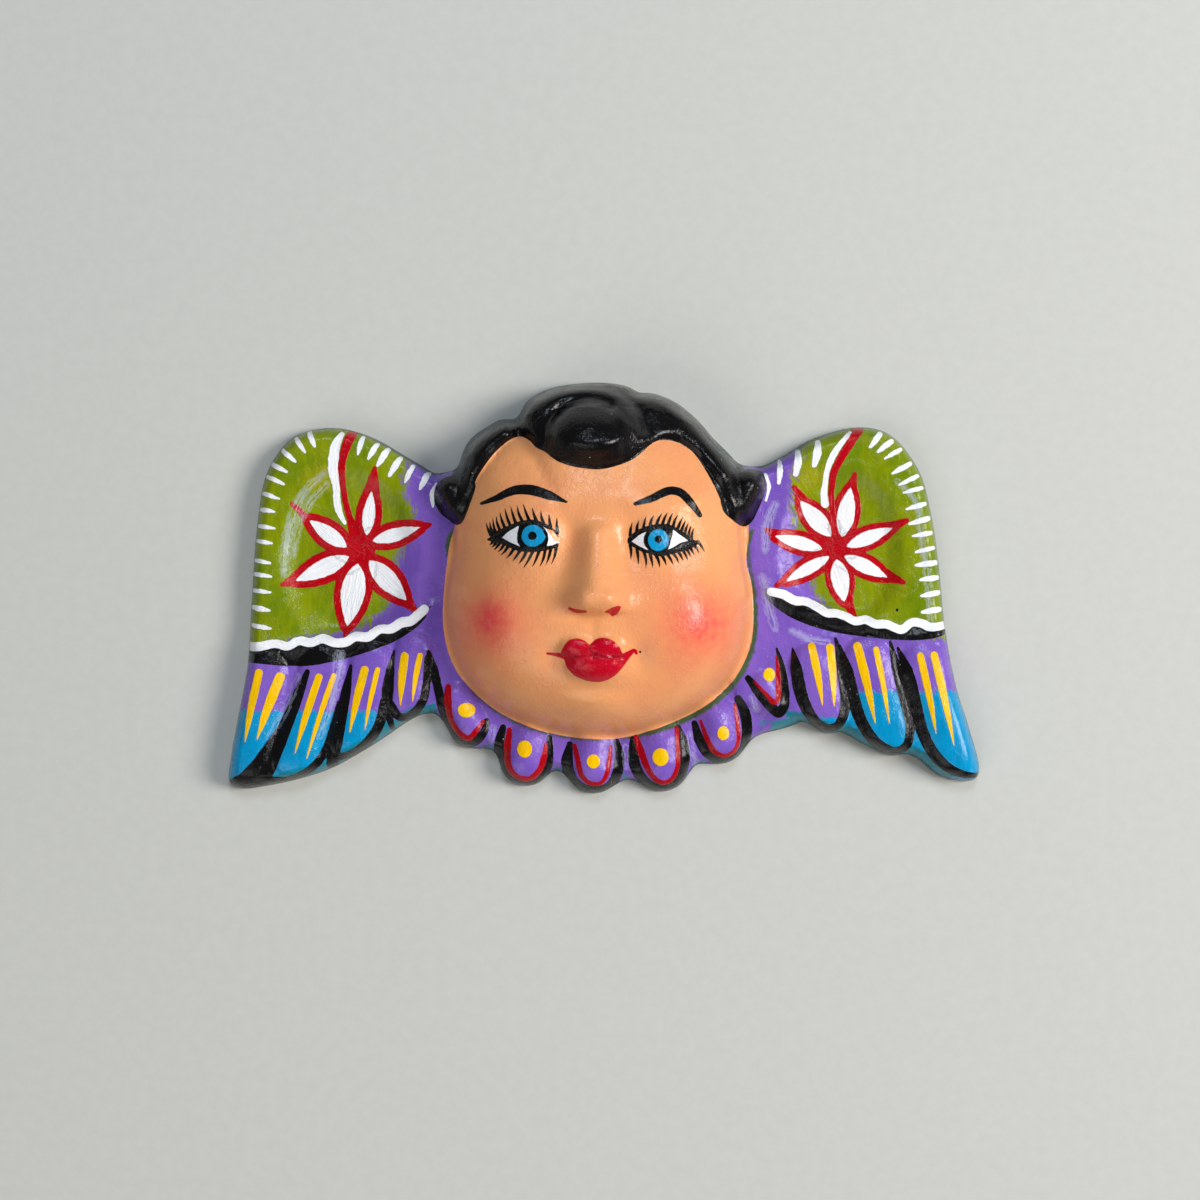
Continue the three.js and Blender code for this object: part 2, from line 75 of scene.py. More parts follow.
def smoothLine(points, closed=False, steps=6):
    # centripetal Catmull-Rom through the points
    p = np.array(points, float)
    if closed:
        p = np.concatenate([p[-1:], p, p[:2]])
    else:
        p = np.concatenate([2 * p[:1] - p[1:2], p, 2 * p[-1:] - p[-2:-1]])
    knots = np.concatenate([[0], np.cumsum(np.sqrt(np.linalg.norm(np.diff(p, axis=0), axis=1)))])
    pieces = []
    for i in range(1, len(p) - 2):
        t = np.linspace(knots[i], knots[i + 1], steps, endpoint=False)[:, None]
        k0, k1, k2, k3 = knots[i - 1:i + 3]
        a = p[i - 1] + (p[i] - p[i - 1]) * (t - k0) / (k1 - k0)
        b = p[i] + (p[i + 1] - p[i]) * (t - k1) / (k2 - k1)
        c = p[i + 1] + (p[i + 2] - p[i + 1]) * (t - k2) / (k3 - k2)
        ab = a + (b - a) * (t - k0) / (k2 - k0)
        bc = b + (c - b) * (t - k1) / (k3 - k1)
        pieces.append(ab + (bc - ab) * (t - k1) / (k2 - k1))
    if not closed:
        pieces.append(p[-2:-1])
    return np.concatenate(pieces)


def evenSteps(line, step, closed=False):
    if closed:
        line = np.concatenate([line, line[:1]])
    passed = np.concatenate([[0], np.cumsum(np.linalg.norm(np.diff(line, axis=0), axis=1))])
    count = max(2, round(passed[-1] / step))
    at = np.linspace(0, passed[-1], count + 1)
    even = np.stack([np.interp(at, passed, line[:, k]) for k in (0, 1)], 1)
    return even[:-1] if closed else even


def leftOf(line):
    # unit vectors across a line, to its left
    along = np.gradient(line, axis=0)
    along /= np.linalg.norm(along, axis=1)[:, None]
    return np.stack([-along[:, 1], along[:, 0]], 1)


def toLine(at, line, closed=False):
    # how far away each point is from the line, how far along it and how far to its left
    ends = np.roll(line, -1, axis=0) if closed else line[1:]
    away = np.full(len(at), 1e9)
    along = np.zeros(len(at))
    left = np.zeros(len(at))
    passed = 0
    for a, b in zip(line, ends):
        dx, dy = b - a
        length = math.hypot(dx, dy)
        rx, ry = at[:, 0] - a[0], at[:, 1] - a[1]
        t = np.clip((rx * dx + ry * dy) / length ** 2, 0, 1)
        d = np.hypot(rx - t * dx, ry - t * dy)
        near = d < away
        away[near] = d[near]
        along[near] = passed + t[near] * length
        left[near] = (dx * ry[near] - dy * rx[near]) / length
        passed += length
    return away, along, left, passed


def isWithin(at, loop):
    within = np.zeros(len(at), bool)
    for a, b in zip(loop, np.roll(loop, -1, axis=0)):
        if a[1] != b[1]:
            level = (a[1] > at[:, 1]) != (b[1] > at[:, 1])
            within ^= level & (at[:, 0] < (b[0] - a[0]) * (at[:, 1] - a[1]) / (b[1] - a[1]) + a[0])
    return within


def insideLoop(at, loop):
    away = toLine(at, loop, closed=True)[0]
    return np.where(isWithin(at, loop), away, -away)


def insideFeather(at, form):
    root, tip, rootHalf, tipHalf = form
    away, along, _, length = toLine(at, np.array([root, tip], float))
    return rootHalf + (tipHalf - rootHalf) * along / length - away


def fromSpot(at, x, y, wide, tall):
    return np.hypot((at[:, 0] - x) / wide, (at[:, 1] - y) / tall)


def bell(at, x, y, wide, tall, rise):
    return rise * np.exp(-fromSpot(at, x, y, wide, tall) ** 2)


def mound(at, x, y, wide, tall, rise, edge=0.5):
    # the lower the edge number, the sharper the mound's foot
    return rise * np.maximum(0, 1 - fromSpot(at, x, y, wide, tall) ** 2) ** edge


def groove(at, line, depth, width):
    return depth * np.exp(-(toLine(at, line)[0] / width) ** 2)


def lumps(at, size, seed):
    # the soft unevenness of hand-pressed clay, from -1 to 1
    rng = np.random.default_rng(seed)
    total = np.zeros(len(at))
    for _ in range(7):
        turn, phase = rng.uniform(0, 2 * np.pi, 2)
        wave = 2 * np.pi / (size * rng.uniform(0.7, 1.6))
        total += np.sin(wave * (at[:, 0] * np.cos(turn) + at[:, 1] * np.sin(turn)) + phase)
    return total / 4


# The forms of the mask, as in the solid. A feather is root, tip and the half widths there

leftWing = dict(
    outline=smoothLine([
        (-44, 28), (-56.4, 37.5), (-67, 44), (-77.6, 49.9), (-90.5, 53), (-103.7, 49.7), (-112.3, 38.5),
        (-115.6, 22), (-117.6, -4.5), (-118.9, -25.6), (-121.7, -41.4), (-124.5, -56.6), (-124.9, -65.3),
        (-120.9, -67.4), (-112.6, -66.6), (-93.1, -61.6), (-77.6, -53.3), (-61.7, -43.1), (-54, -41.4),
        (-42, -30),
    ], closed=True),
    bowl=(-84.5, 9, 23, 29.5),
    bead=smoothLine([(-118.5, -18.5), (-103, -19.8), (-86, -18.2), (-70, -13.4), (-57.2, -7)]),
    feathers=[
        ((-112.4, -28), (-117.2, -57), 7.6, 7.2),
        ((-93, -28), (-102.4, -56.5), 8, 7.4),
        ((-76.6, -25.8), (-83.4, -49.5), 7.6, 7.2),
        ((-63, -21), (-65.4, -36.4), 6.2, 6),
    ],
)
rightWing = dict(
    outline=smoothLine([
        (40, 30), (49.2, 37.8), (60.8, 44.1), (68.8, 48.8), (84.9, 53.2), (95.5, 50.7), (105.1, 38.8),
        (109.2, 24.6), (111.7, 8.2), (114, -14.4), (117.8, -34), (121.6, -46.1), (125.3, -61.9),
        (123.2, -64.7), (112.3, -63.3), (104.7, -57.6), (100.8, -56), (95.8, -56.5), (86.6, -52.7),
        (79, -48.7), (74.5, -49.1), (66.7, -45.2), (61.4, -44.7), (41.6, -37.5),
    ], closed=True),
    bowl=(78.5, 11.5, 20.5, 28),
    bead=smoothLine([(54, -1.2), (64, -6.8), (78, -10.6), (92, -14.4), (100, -17), (114.4, -14.4)]),
    feathers=[
        ((68.8, -26), (73.8, -42), 7.4, 7),
        ((87.2, -24.6), (94, -47.6), 8.2, 8),
        ((106, -27), (115.4, -54.6), 8.4, 7.4),
    ],
)
wingForm = dict(
    thickness=9, featherRelief=2.6, ledgeRelief=1.3, ledgeWidth=2.6,
    dishDepth=2.8, dishFoot=0.72, dishBrim=1.08,
)

collar = dict(
    outline=smoothLine([
        (-54, -40), (-37.6, -54.6), (-15.5, -61.2), (8.3, -64.4), (31.4, -59.2), (53.2, -49), (64, -44),
        (45, -22), (0, -20), (-46, -24),
    ], closed=True),
    feathers=[
        ((-49.2, -35.8), (-44.2, -46.4), 7.4, 7.6),
        ((-25.1, -51.4), (-26, -57.8), 8.6, 8.8),
        ((-3.4, -52.4), (-3.4, -59.6), 9.2, 9.5),
        ((18.8, -51.4), (19.2, -59), 9.2, 9.5),
        ((37, -42.4), (38.6, -50.4), 8.6, 8.8),
        ((52.8, -31.4), (55.6, -38.8), 7.4, 7.8),
    ],
    thickness=7.5, featherRelief=3.4, soft=2.4,
)

head = dict(
    centre=(-2, -1.2),
    radii=[69.3, 68.2, 65.9, 62.8, 56, 50.4, 50.8, 52.6, 53.7, 52.5, 50.5, 49.2, 49],  # every 15 degrees
    bumps=[  # finer than the solid's: degrees from the crown, width in degrees, height
        (-41, 7, 1.9), (-25.4, 3.4, -3), (-13, 6, 0.8), (11.8, 2.6, -1.1), (22, 6, 0.7),
        (37.5, 5, -1), (49, 4, 1.1)],
    relief=36, domePower=2.8, wall=6.5, lip=7.5,
)

hair = dict(
    line=smoothLine([
        (-47, 20), (-43.6, 30.2), (-38.2, 39), (-30.6, 47.4), (-25.2, 48.2), (-20.4, 43.6), (-13.2, 39.6),
        (-4, 37.8), (5, 39), (12.8, 43.8), (19, 47.4), (26, 45.8), (32.6, 39.6), (38.6, 30), (42, 18),
    ]),
    relief=3, rounding=4.5, setBack=0.7,
    foreheadCurl=(-3.9, 48.8, 16.6, 12.2, 7.2, 0.8),
    templeCurls=[((-50.4, 31.8), (-48.4, 27), 6.6, 6.2), ((47.4, 33), (44.8, 26.6), 7, 6.4)],
    templeTop=19, templeJoint=6,
    locks=[
        [(-28.9, 54), (-24, 58.8), (-15.9, 62.7), (-4.5, 63.7), (3.6, 61.1), (9.4, 55.6)],
        [(11.7, 62.7), (20.8, 57.9), (31.2, 49.4), (38.3, 40.3), (43.5, 33.8), (45.8, 26.4)],
        [(-33.8, 50.7), (-40.2, 46.2), (-45.1, 39.4), (-48.4, 31.2)],
    ],
    lockRelief=2.8, lockWidth=4,
    grooves=[
        [(-19.4, 46), (-17.6, 53.4), (-11.6, 60), (-3, 61.6), (2.4, 58.6)],
        [(-2.6, 66.4), (5.6, 63.4), (11.6, 57.6), (14.6, 50.6)],
        [(-27.6, 48.6), (-28.8, 53), (-30.4, 57.6)],
    ],
    grooveDepth=2, grooveWidth=1.8,
    creases=[  # finer than the solid's: line, depth and width
        ([(-7.6, 47.4), (-4.6, 49), (-1.2, 50.6)], 0.5, 0.5),
        ([(-5.4, 46.6), (-2, 48.8), (1.2, 50)], 0.6, 0.45),
        ([(-19.4, 45.4), (-18.2, 52), (-15.2, 57), (-10.9, 59.4), (-5, 60.2), (0.9, 59.1), (5.6, 56.6),
          (9.2, 53)], 1, 0.9),
        ([(-22.4, 44.6), (-21, 46.4)], 1, 0.7),
        ([(-43.4, 41.4), (-45.2, 37.2), (-45, 33), (-46.4, 29.4)], 0.9, 0.7),
        ([(14, 60.6), (21.6, 55.4), (29.4, 48.6), (34.6, 41.6)], 0.5, 1),
        ([(21, 60.6), (29.4, 54.4), (37.4, 46)], 0.4, 0.9),
        ([(-24.4, 57), (-16, 65), (-6, 66.8)], 0.4, 0.9),
    ],
    pinhole=(6.2, 62.7, 1.1, 0.6, -1.6),
)

face = dict(
    bells=[
        (-33, -14, 17, 18, 3.2), (29, -14, 17, 18, 3.2),  # cheeks
        (-3, -22, 14, 13, 2.6),  # round the mouth
        (-1.6, -38.4, 11, 6.5, 2.6),  # chin
        (-3, -33.6, 8, 2.4, -1.3),  # under the lip
        (-16.6, -22.6, 3.6, 5, -1.5), (11, -22.6, 3.6, 5, -1.5),  # corners of the mouth
        (-11.6, 14, 4.6, 8, -2), (7.6, 14, 4.6, 8, -2),  # beside the bridge
        (-22.6, 27, 13, 4.5, 1), (18.4, 27, 13, 4.5, 1),  # brows
        (-3.6, -13, 1.6, 3.2, -0.5),  # groove over the lip
        (-8.4, -8.4, 2.2, 1.1, -0.8), (2.6, -8, 2.4, 1.2, -0.8),  # nostrils
    ],
    mounds=[
        (-22.8, 16, 12.6, 8.4, 2, 1.2), (17.6, 14.8, 12.6, 8.4, 2, 1.2),  # eyes
        (-8.8, -20, 5.8, 3.9, 2, 0.7), (1.2, -20, 5.8, 3.9, 2, 0.7),  # upper lip
        (-3.2, -26.2, 9.4, 4.9, 2.6, 0.7),  # lower lip
        (-8, -4.4, 4.8, 4.6, 1.7, 1.3), (3.4, -4.4, 4.8, 4.6, 1.7, 1.3),  # wings of the nose
    ],
    seam=smoothLine([(-12.8, -22.8), (-8, -22.2), (-4.2, -22.8), (0.6, -22.4), (6, -22.6)]),
    seamDepth=0.5, seamWidth=0.9,
)
nose = dict(
    x=-2.4, bridge=22, tip=-2.6, base=-9.2, narrow=4.6, broad=8.6, relief=8.9,
    bridgeShare=0.2, slope=1.5, squareness=2.1,
)

edgeForm = dict(
    rounding=4.2, fillet=4, joint=2.4, brimShare=0.08, brimWidth=0.6,
    lumpSize=13, lumpHeight=0.22, dimpleSize=4.2, dimpleHeight=0.07,
)


def headRadius(at):
    x, y = at[:, 0] - head["centre"][0], at[:, 1] - head["centre"][1]
    radii = head["radii"]
    last = len(radii) - 1
    ring = np.array([radii[1], *radii, radii[-2]])
    turn = np.abs(np.arctan2(x, y)) / (np.pi / last)
    i = np.minimum(turn.astype(int), last - 1)
    t = turn - i
    a, b, c, d = ring[i], ring[i + 1], ring[i + 2], ring[i + 3]
    radius = b + 0.5 * t * (c - a + t * (2 * a - 5 * b + 4 * c - d + t * (3 * (b - c) + d - a)))
    degrees = np.degrees(np.arctan2(x, y))
    for middle, width, rise in head["bumps"]:
        radius += rise * np.exp(-((degrees - middle) / width) ** 2)
    return radius


def fromHead(at):
    return np.hypot(at[:, 0] - head["centre"][0], at[:, 1] - head["centre"][1])


def insideMask(at):
    deepest = headRadius(at) - fromHead(at)
    for plate in (leftWing, rightWing, collar):
        deepest = softMax(deepest, insideLoop(at, plate["outline"]), edgeForm["fillet"])
    for form in [*collar["feathers"], *hair["templeCurls"]]:
        deepest = softMax(deepest, insideFeather(at, form), edgeForm["fillet"])
    return deepest


def noseHeight(at):
    x, y = at[:, 0], at[:, 1]
    down = np.clip((nose["bridge"] - y) / (nose["bridge"] - nose["tip"]), 0, 1)
    slope = down ** nose["slope"]
    wide = nose["narrow"] + (nose["broad"] - nose["narrow"]) * slope
    under = np.where(y < nose["tip"], roundOver((y - nose["base"]) / (nose["tip"] - nose["base"])), 1)
    across = np.exp(-(np.abs(x - nose["x"]) / wide) ** nose["squareness"])
    profile = nose["bridgeShare"] * fade(0, 0.2, down) + (1 - nose["bridgeShare"]) * slope
    return nose["relief"] * profile * under * across


def hairHeight(at):
    forehead = np.concatenate([hair["line"], [(60, -70), (-60, -70)]])
    away = toLine(at, hair["line"])[0]
    depth = np.where(isWithin(at, forehead), -away, away) - hair["setBack"]
    height = hair["relief"] * roundOver(depth / hair["rounding"])
    for line in hair["locks"]:
        height += groove(at, smoothLine(line), hair["lockRelief"], hair["lockWidth"])
    for line in hair["grooves"]:
        height -= groove(at, smoothLine(line), hair["grooveDepth"], hair["grooveWidth"])
    for line, cut, width in hair["creases"]:
        height -= groove(at, smoothLine(line), cut, width)
    height += bell(at, *hair["pinhole"])
    height += mound(at, *hair["foreheadCurl"]) * fade(0, 1.6 * hair["rounding"], depth)
    return np.where(depth > 0, height, 0)


def headHeight(at):
    share = fromHead(at) / headRadius(at)
    carving = noseHeight(at) - groove(at, face["seam"], face["seamDepth"], face["seamWidth"])
    for form in face["bells"]:
        carving += bell(at, *form)
    for form in face["mounds"]:
        carving += mound(at, *form)
    dome = head["relief"] * np.sqrt(np.maximum(0, 1 - share ** head["domePower"]))
    height = dome + fade(1, 0.8, share) * carving + fade(1, 0.93, share) * hairHeight(at)
    return np.where(share < 1, height, 0)


def wingHeight(at, wing):
    inside = insideLoop(at, wing["outline"])
    toBead = toLine(at, wing["bead"])[0]
    rolls = [roundOver(insideFeather(at, form) / form[2]) for form in wing["feathers"]]
    dish = fade(wingForm["dishBrim"], wingForm["dishFoot"], fromSpot(at, *wing["bowl"]))
    rise = wingForm["ledgeRelief"] * np.exp(-(toBead / wingForm["ledgeWidth"]) ** 2)
    rise += wingForm["featherRelief"] * np.max(rolls, axis=0)
    rise -= wingForm["dishDepth"] * dish * fade(0, 2 * wingForm["ledgeWidth"], toBead)
    return (wingForm["thickness"] + rise) * roundOver(inside / edgeForm["rounding"])


def collarHeight(at):
    height = collar["thickness"] * roundOver(insideLoop(at, collar["outline"]) / edgeForm["rounding"])
    for form in collar["feathers"]:
        rise = collar["thickness"] + collar["featherRelief"]
        height = softMax(height, rise * roundOver(insideFeather(at, form) / form[3]), collar["soft"])
    return height


def frontHeight(at, inside):
    plates = np.maximum(wingHeight(at, leftWing), wingHeight(at, rightWing))
    plates = np.maximum(plates, collarHeight(at))
    curls = [roundOver(insideFeather(at, form) / form[2]) for form in hair["templeCurls"]]
    heads = softMax(headHeight(at), hair["templeTop"] * np.max(curls, axis=0), hair["templeJoint"])
    height = softMax(plates, heads, edgeForm["joint"])
    height += edgeForm["lumpHeight"] * lumps(at, edgeForm["lumpSize"], 4)
    height += edgeForm["dimpleHeight"] * lumps(at, edgeForm["dimpleSize"], 9)
    brim = edgeForm["brimWidth"] * edgeForm["rounding"]
    return height * roundOver(edgeForm["brimShare"] + inside / brim)


# Where the points of the front go: rows inside the outline, then a triangular grid that is finest
# along the edges of the paint and round the eyes

mesh = dict(
    planReach=(131, 74), traceStep=1.6, outlineStep=0.8, rimRows=[0.04, 0.3, 0.7, 1.2],
    grid=0.21, clearOfRim=0.4, strokeBand=0.46, eyeBand=0.3, softenings=3,
    hollowGrid=2.2, clearOfLip=3, backGrid=5, clearOfHollow=2.6, clearOfEdge=2.5,
    lipStep=1.7, lipRows=[-0.8, 0.01, 0.25, 0.9, 2],
)
eyeZones = [(-26, 16, 17, 13), (19.6, 15, 16, 12.5)]


def traceOutline(step):
    # walks round the line where insideMask changes sign, over a square grid
    wide, tall = mesh["planReach"]
    xs, ys = np.arange(-wide, wide, step), np.arange(-tall, tall, step)
    grid = np.stack(np.meshgrid(xs, ys, indexing="ij"), -1)
    inside = (insideMask(grid.reshape(-1, 2)) > 0).reshape(grid.shape[:2])
    keys, links, low, high = {}, {}, [], []

    def crossing(a, b):
        if inside[a] == inside[b]:
            return []
        key = (a, b)
        if key not in keys:
            keys[key] = len(low)
            low.append(grid[a] if inside[a] else grid[b])
            high.append(grid[b] if inside[a] else grid[a])
            links[keys[key]] = []
        return [keys[key]]

    for i in range(len(xs) - 1):
        for j in range(len(ys) - 1):
            if inside[i:i + 2, j:j + 2].sum() % 4 == 0:
                continue
            found = crossing((i, j), (i + 1, j)) + crossing((i + 1, j), (i + 1, j + 1))
            found += crossing((i, j + 1), (i + 1, j + 1)) + crossing((i, j), (i, j + 1))
            for k in range(0, len(found) - 1, 2):
                links[found[k]].append(found[k + 1])
                links[found[k + 1]].append(found[k])
    low, high = np.array(low), np.array(high)
    for _ in range(16):
        middle = (low + high) / 2
        isIn = (insideMask(middle) > 0)[:, None]
        low, high = np.where(isIn, middle, low), np.where(isIn, high, middle)
    loop, seen, at = [], set(), 0
    while at is not None:
        seen.add(at)
        loop.append(low[at])
        at = next((other for other in links[at] if other not in seen), None)
    loop = np.array(loop)
    turned = np.roll(loop, -1, axis=0)
    area = np.sum(loop[:, 0] * turned[:, 1] - turned[:, 0] * loop[:, 1])
    return loop if area > 0 else loop[::-1]


def inwards(at):
    probe = 0.05
    dx = insideMask(at + (probe, 0)) - insideMask(at - (probe, 0))
    dy = insideMask(at + (0, probe)) - insideMask(at - (0, probe))
    return np.stack([dx, dy], 1) / np.hypot(dx, dy)[:, None]


outline = evenSteps(traceOutline(mesh["traceStep"]), mesh["outlineStep"], closed=True)
rings = [outline]
for inset in mesh["rimRows"]:
    ring = rings[-1]
    for _ in range(2):
        ring = ring + inwards(ring) * (inset - insideMask(ring))[:, None]
    rings.append(ring)


def hexGrid(step):
    # rows of places a step apart over the whole plan, with the column and row of each
    wide, tall = mesh["planReach"]
    rows, columns = int(2 * tall / (step * 0.866)), int(2 * wide / step)
    j, i = np.meshgrid(np.arange(rows), np.arange(columns), indexing="ij")
    x = (i + (j % 2) / 2) * step - wide
    y = j * step * math.sqrt(0.75) - tall
    return np.stack([x.ravel(), y.ravel()], 1), i.ravel(), j.ravel()


def shaken(places, step, share, seed):
    # each place moved a little, so that no four of them lie on one circle
    return places + np.random.default_rng(seed).uniform(-share, share, places.shape) * step


def gridPoints():
    # every point has a level: 0 for the wide grid, 1 halfway between, 2 round the eyes only
    at, i, j = hexGrid(mesh["grid"])
    across = i - j // 2
    isHalf = (across % 2 == 0) & (j % 2 == 0)
    isWide = (across % 4 == 0) & (j % 4 == 0)
    level = np.where(isWide, 0, np.where(isHalf, 1, 2))
    isNear = np.min([fromSpot(at, *zone) for zone in eyeZones], axis=0) < 1
    at, level = at[(level < 2) | isNear], level[(level < 2) | isNear]
    at = shaken(at, mesh["grid"], 0.02, 5)
    inside = insideMask(at)
    keep = inside > mesh["rimRows"][-1] + mesh["clearOfRim"]
    return at[keep], level[keep], inside[keep]


gridAt, gridLevel, gridInside = gridPoints()
ringCount = len(outline)
at = np.concatenate([*rings, gridAt])
level = np.concatenate([np.full(ringCount * len(rings), -1), gridLevel])
inside = np.concatenate([np.repeat([0, *mesh["rimRows"]], ringCount), gridInside])
print("drew the outline and the grid:", len(at), "places")


# The paint. Each coat is a distance in millimetres, positive inside its strokes, on every point

coats = {name: np.full(len(at), -9.0) for name in (
    "tips", "teal", "field", "moss", "jaw", "skin", "redUnder", "white", "black", "redOver", "lips",
    "seam", "yellow", "iris", "pupil", "dryAndSheen")}
# Along and across the nearest stroke, and the stroke's number, on every point
brush = np.column_stack([at[:, 1], at[:, 0] * 0.35, np.zeros(len(at))])
dryAndSheenBrush = np.zeros((len(at), 3))
strokeCount = 0


def nearTo(line, reach):
    low, high = line.min(axis=0) - reach, line.max(axis=0) + reach
    return np.flatnonzero(np.all((at > low) & (at < high), axis=1))


def layBrush(chosen, line, kept):
    # from here on the streaks on these points run along the line
    _, along, left, _ = toLine(at[chosen], line)
    kept[chosen] = np.stack([along, left, np.full(len(chosen), strokeCount * 3.7)], 1)


def stroke(coat, points, halfWidths, steps=6):
    global strokeCount
    strokeCount += 1
    line = smoothLine(points, steps=steps) if len(points) > 2 else np.array(points, float)
    near = nearTo(line, max(halfWidths) + 2)
    away, along, _, length = toLine(at[near], line)
    half = np.interp(along / length, np.linspace(0, 1, len(halfWidths)), halfWidths)
    depth = half - away
    coats[coat][near] = np.maximum(coats[coat][near], depth)
    layBrush(near[depth > -0.3], line, dryAndSheenBrush if coat == "dryAndSheen" else brush)


def fill(coat, loop, grow=0.0):
    loop = np.array(loop, float)
    near = nearTo(loop, 4)
    coats[coat][near] = np.maximum(coats[coat][near], insideLoop(at[near], loop) + grow)


def cutOut(coat, loop):
    near = nearTo(loop, 4)
    coats[coat][near] = np.minimum(coats[coat][near], -insideLoop(at[near], loop))


def dot(coat, x, y, wide, tall):
    near = nearTo(np.array([(x, y)], float), max(wide, tall) + 3)
    depth = (1 - fromSpot(at[near], x, y, wide, tall)) * min(wide, tall)
    coats[coat][near] = np.maximum(coats[coat][near], depth)


def leaf(base, tip, half):
    # round at its base and pointed at its tip
    base, tip = np.array(base, float), np.array(tip, float)
    u = np.linspace(0, 1, 18)
    spine = base + (tip - base) * u[:, None]
    side = leftOf(spine) * (half * np.sin(np.pi * u ** 0.85) ** 0.85)[:, None]
    return np.concatenate([spine + side, (spine - side)[::-1][1:-1]])


def flower(spec):
    for base, tip, half, redTip in spec["petals"]:
        fill("white", leaf(base, tip, half))
        fill("redUnder", leaf(base, tip, half), spec["outline"])
        neck = np.array(base) + 0.72 * (np.array(tip) - np.array(base))
        stroke("redUnder", [neck, redTip], [spec["outline"] + 0.62 * half, spec["outline"], 0.75])
        near = nearTo(np.array([base, redTip], float), half + 3)
        outlined = toLine(at[near], np.array([base, redTip], float))[0] < half + spec["outline"]
        layBrush(near[outlined], np.array([base, redTip], float), brush)
    dot("redUnder", *spec["heart"])


def rimTicks(spec):
    # short white marks at right angles to the wing's edge
    rng = np.random.default_rng(spec["seed"])
    edge = evenSteps(spec["wing"]["outline"], 0.5, closed=True)
    start = np.argmin(np.linalg.norm(edge - spec["first"], axis=1))
    end = np.argmin(np.linalg.norm(edge - spec["last"], axis=1))
    span = (end - start) % len(edge) if spec["onwards"] else -((start - end) % len(edge))
    for k in range(spec["count"]):
        share = (k + rng.uniform(-0.12, 0.12)) / (spec["count"] - 1)
        place = edge[int(start + span * share) % len(edge)]
        inward = inwards(place[None])[0]
        turned = inward + rng.uniform(-0.08, 0.08, 2) + spec["lean"]
        turned /= np.linalg.norm(turned)
        root = place + inward * (spec["gap"] + rng.uniform(-0.3, 0.3))
        long = spec["length"] * rng.uniform(0.88, 1.1)
        half = spec["half"] * rng.uniform(0.85, 1.15)
        stroke("white", [root, root + turned * long], [half * 0.8, half, half * 0.9, half * 0.45])


def evenly(points, count):
    line = smoothLine(points, steps=8)
    share = np.linspace(0, len(line) - 1, count)
    return np.stack([np.interp(share, np.arange(len(line)), line[:, k]) for k in (0, 1)], 1)


def lashes(count, roots, tips, half, seed):
    # thin strokes that start on the lid, bow a little and run out to a point
    rng = np.random.default_rng(seed)
    for root, tip in zip(evenly(roots, count), evenly(tips, count)):
        tip = root + (tip - root) * rng.uniform(0.92, 1.06)
        bow = np.array([root[1] - tip[1], tip[0] - root[0]]) * rng.uniform(0.02, 0.07)
        stroke("black", [root, (root + tip) / 2 + bow, tip], [half, half * 0.75, half * 0.2], steps=3)


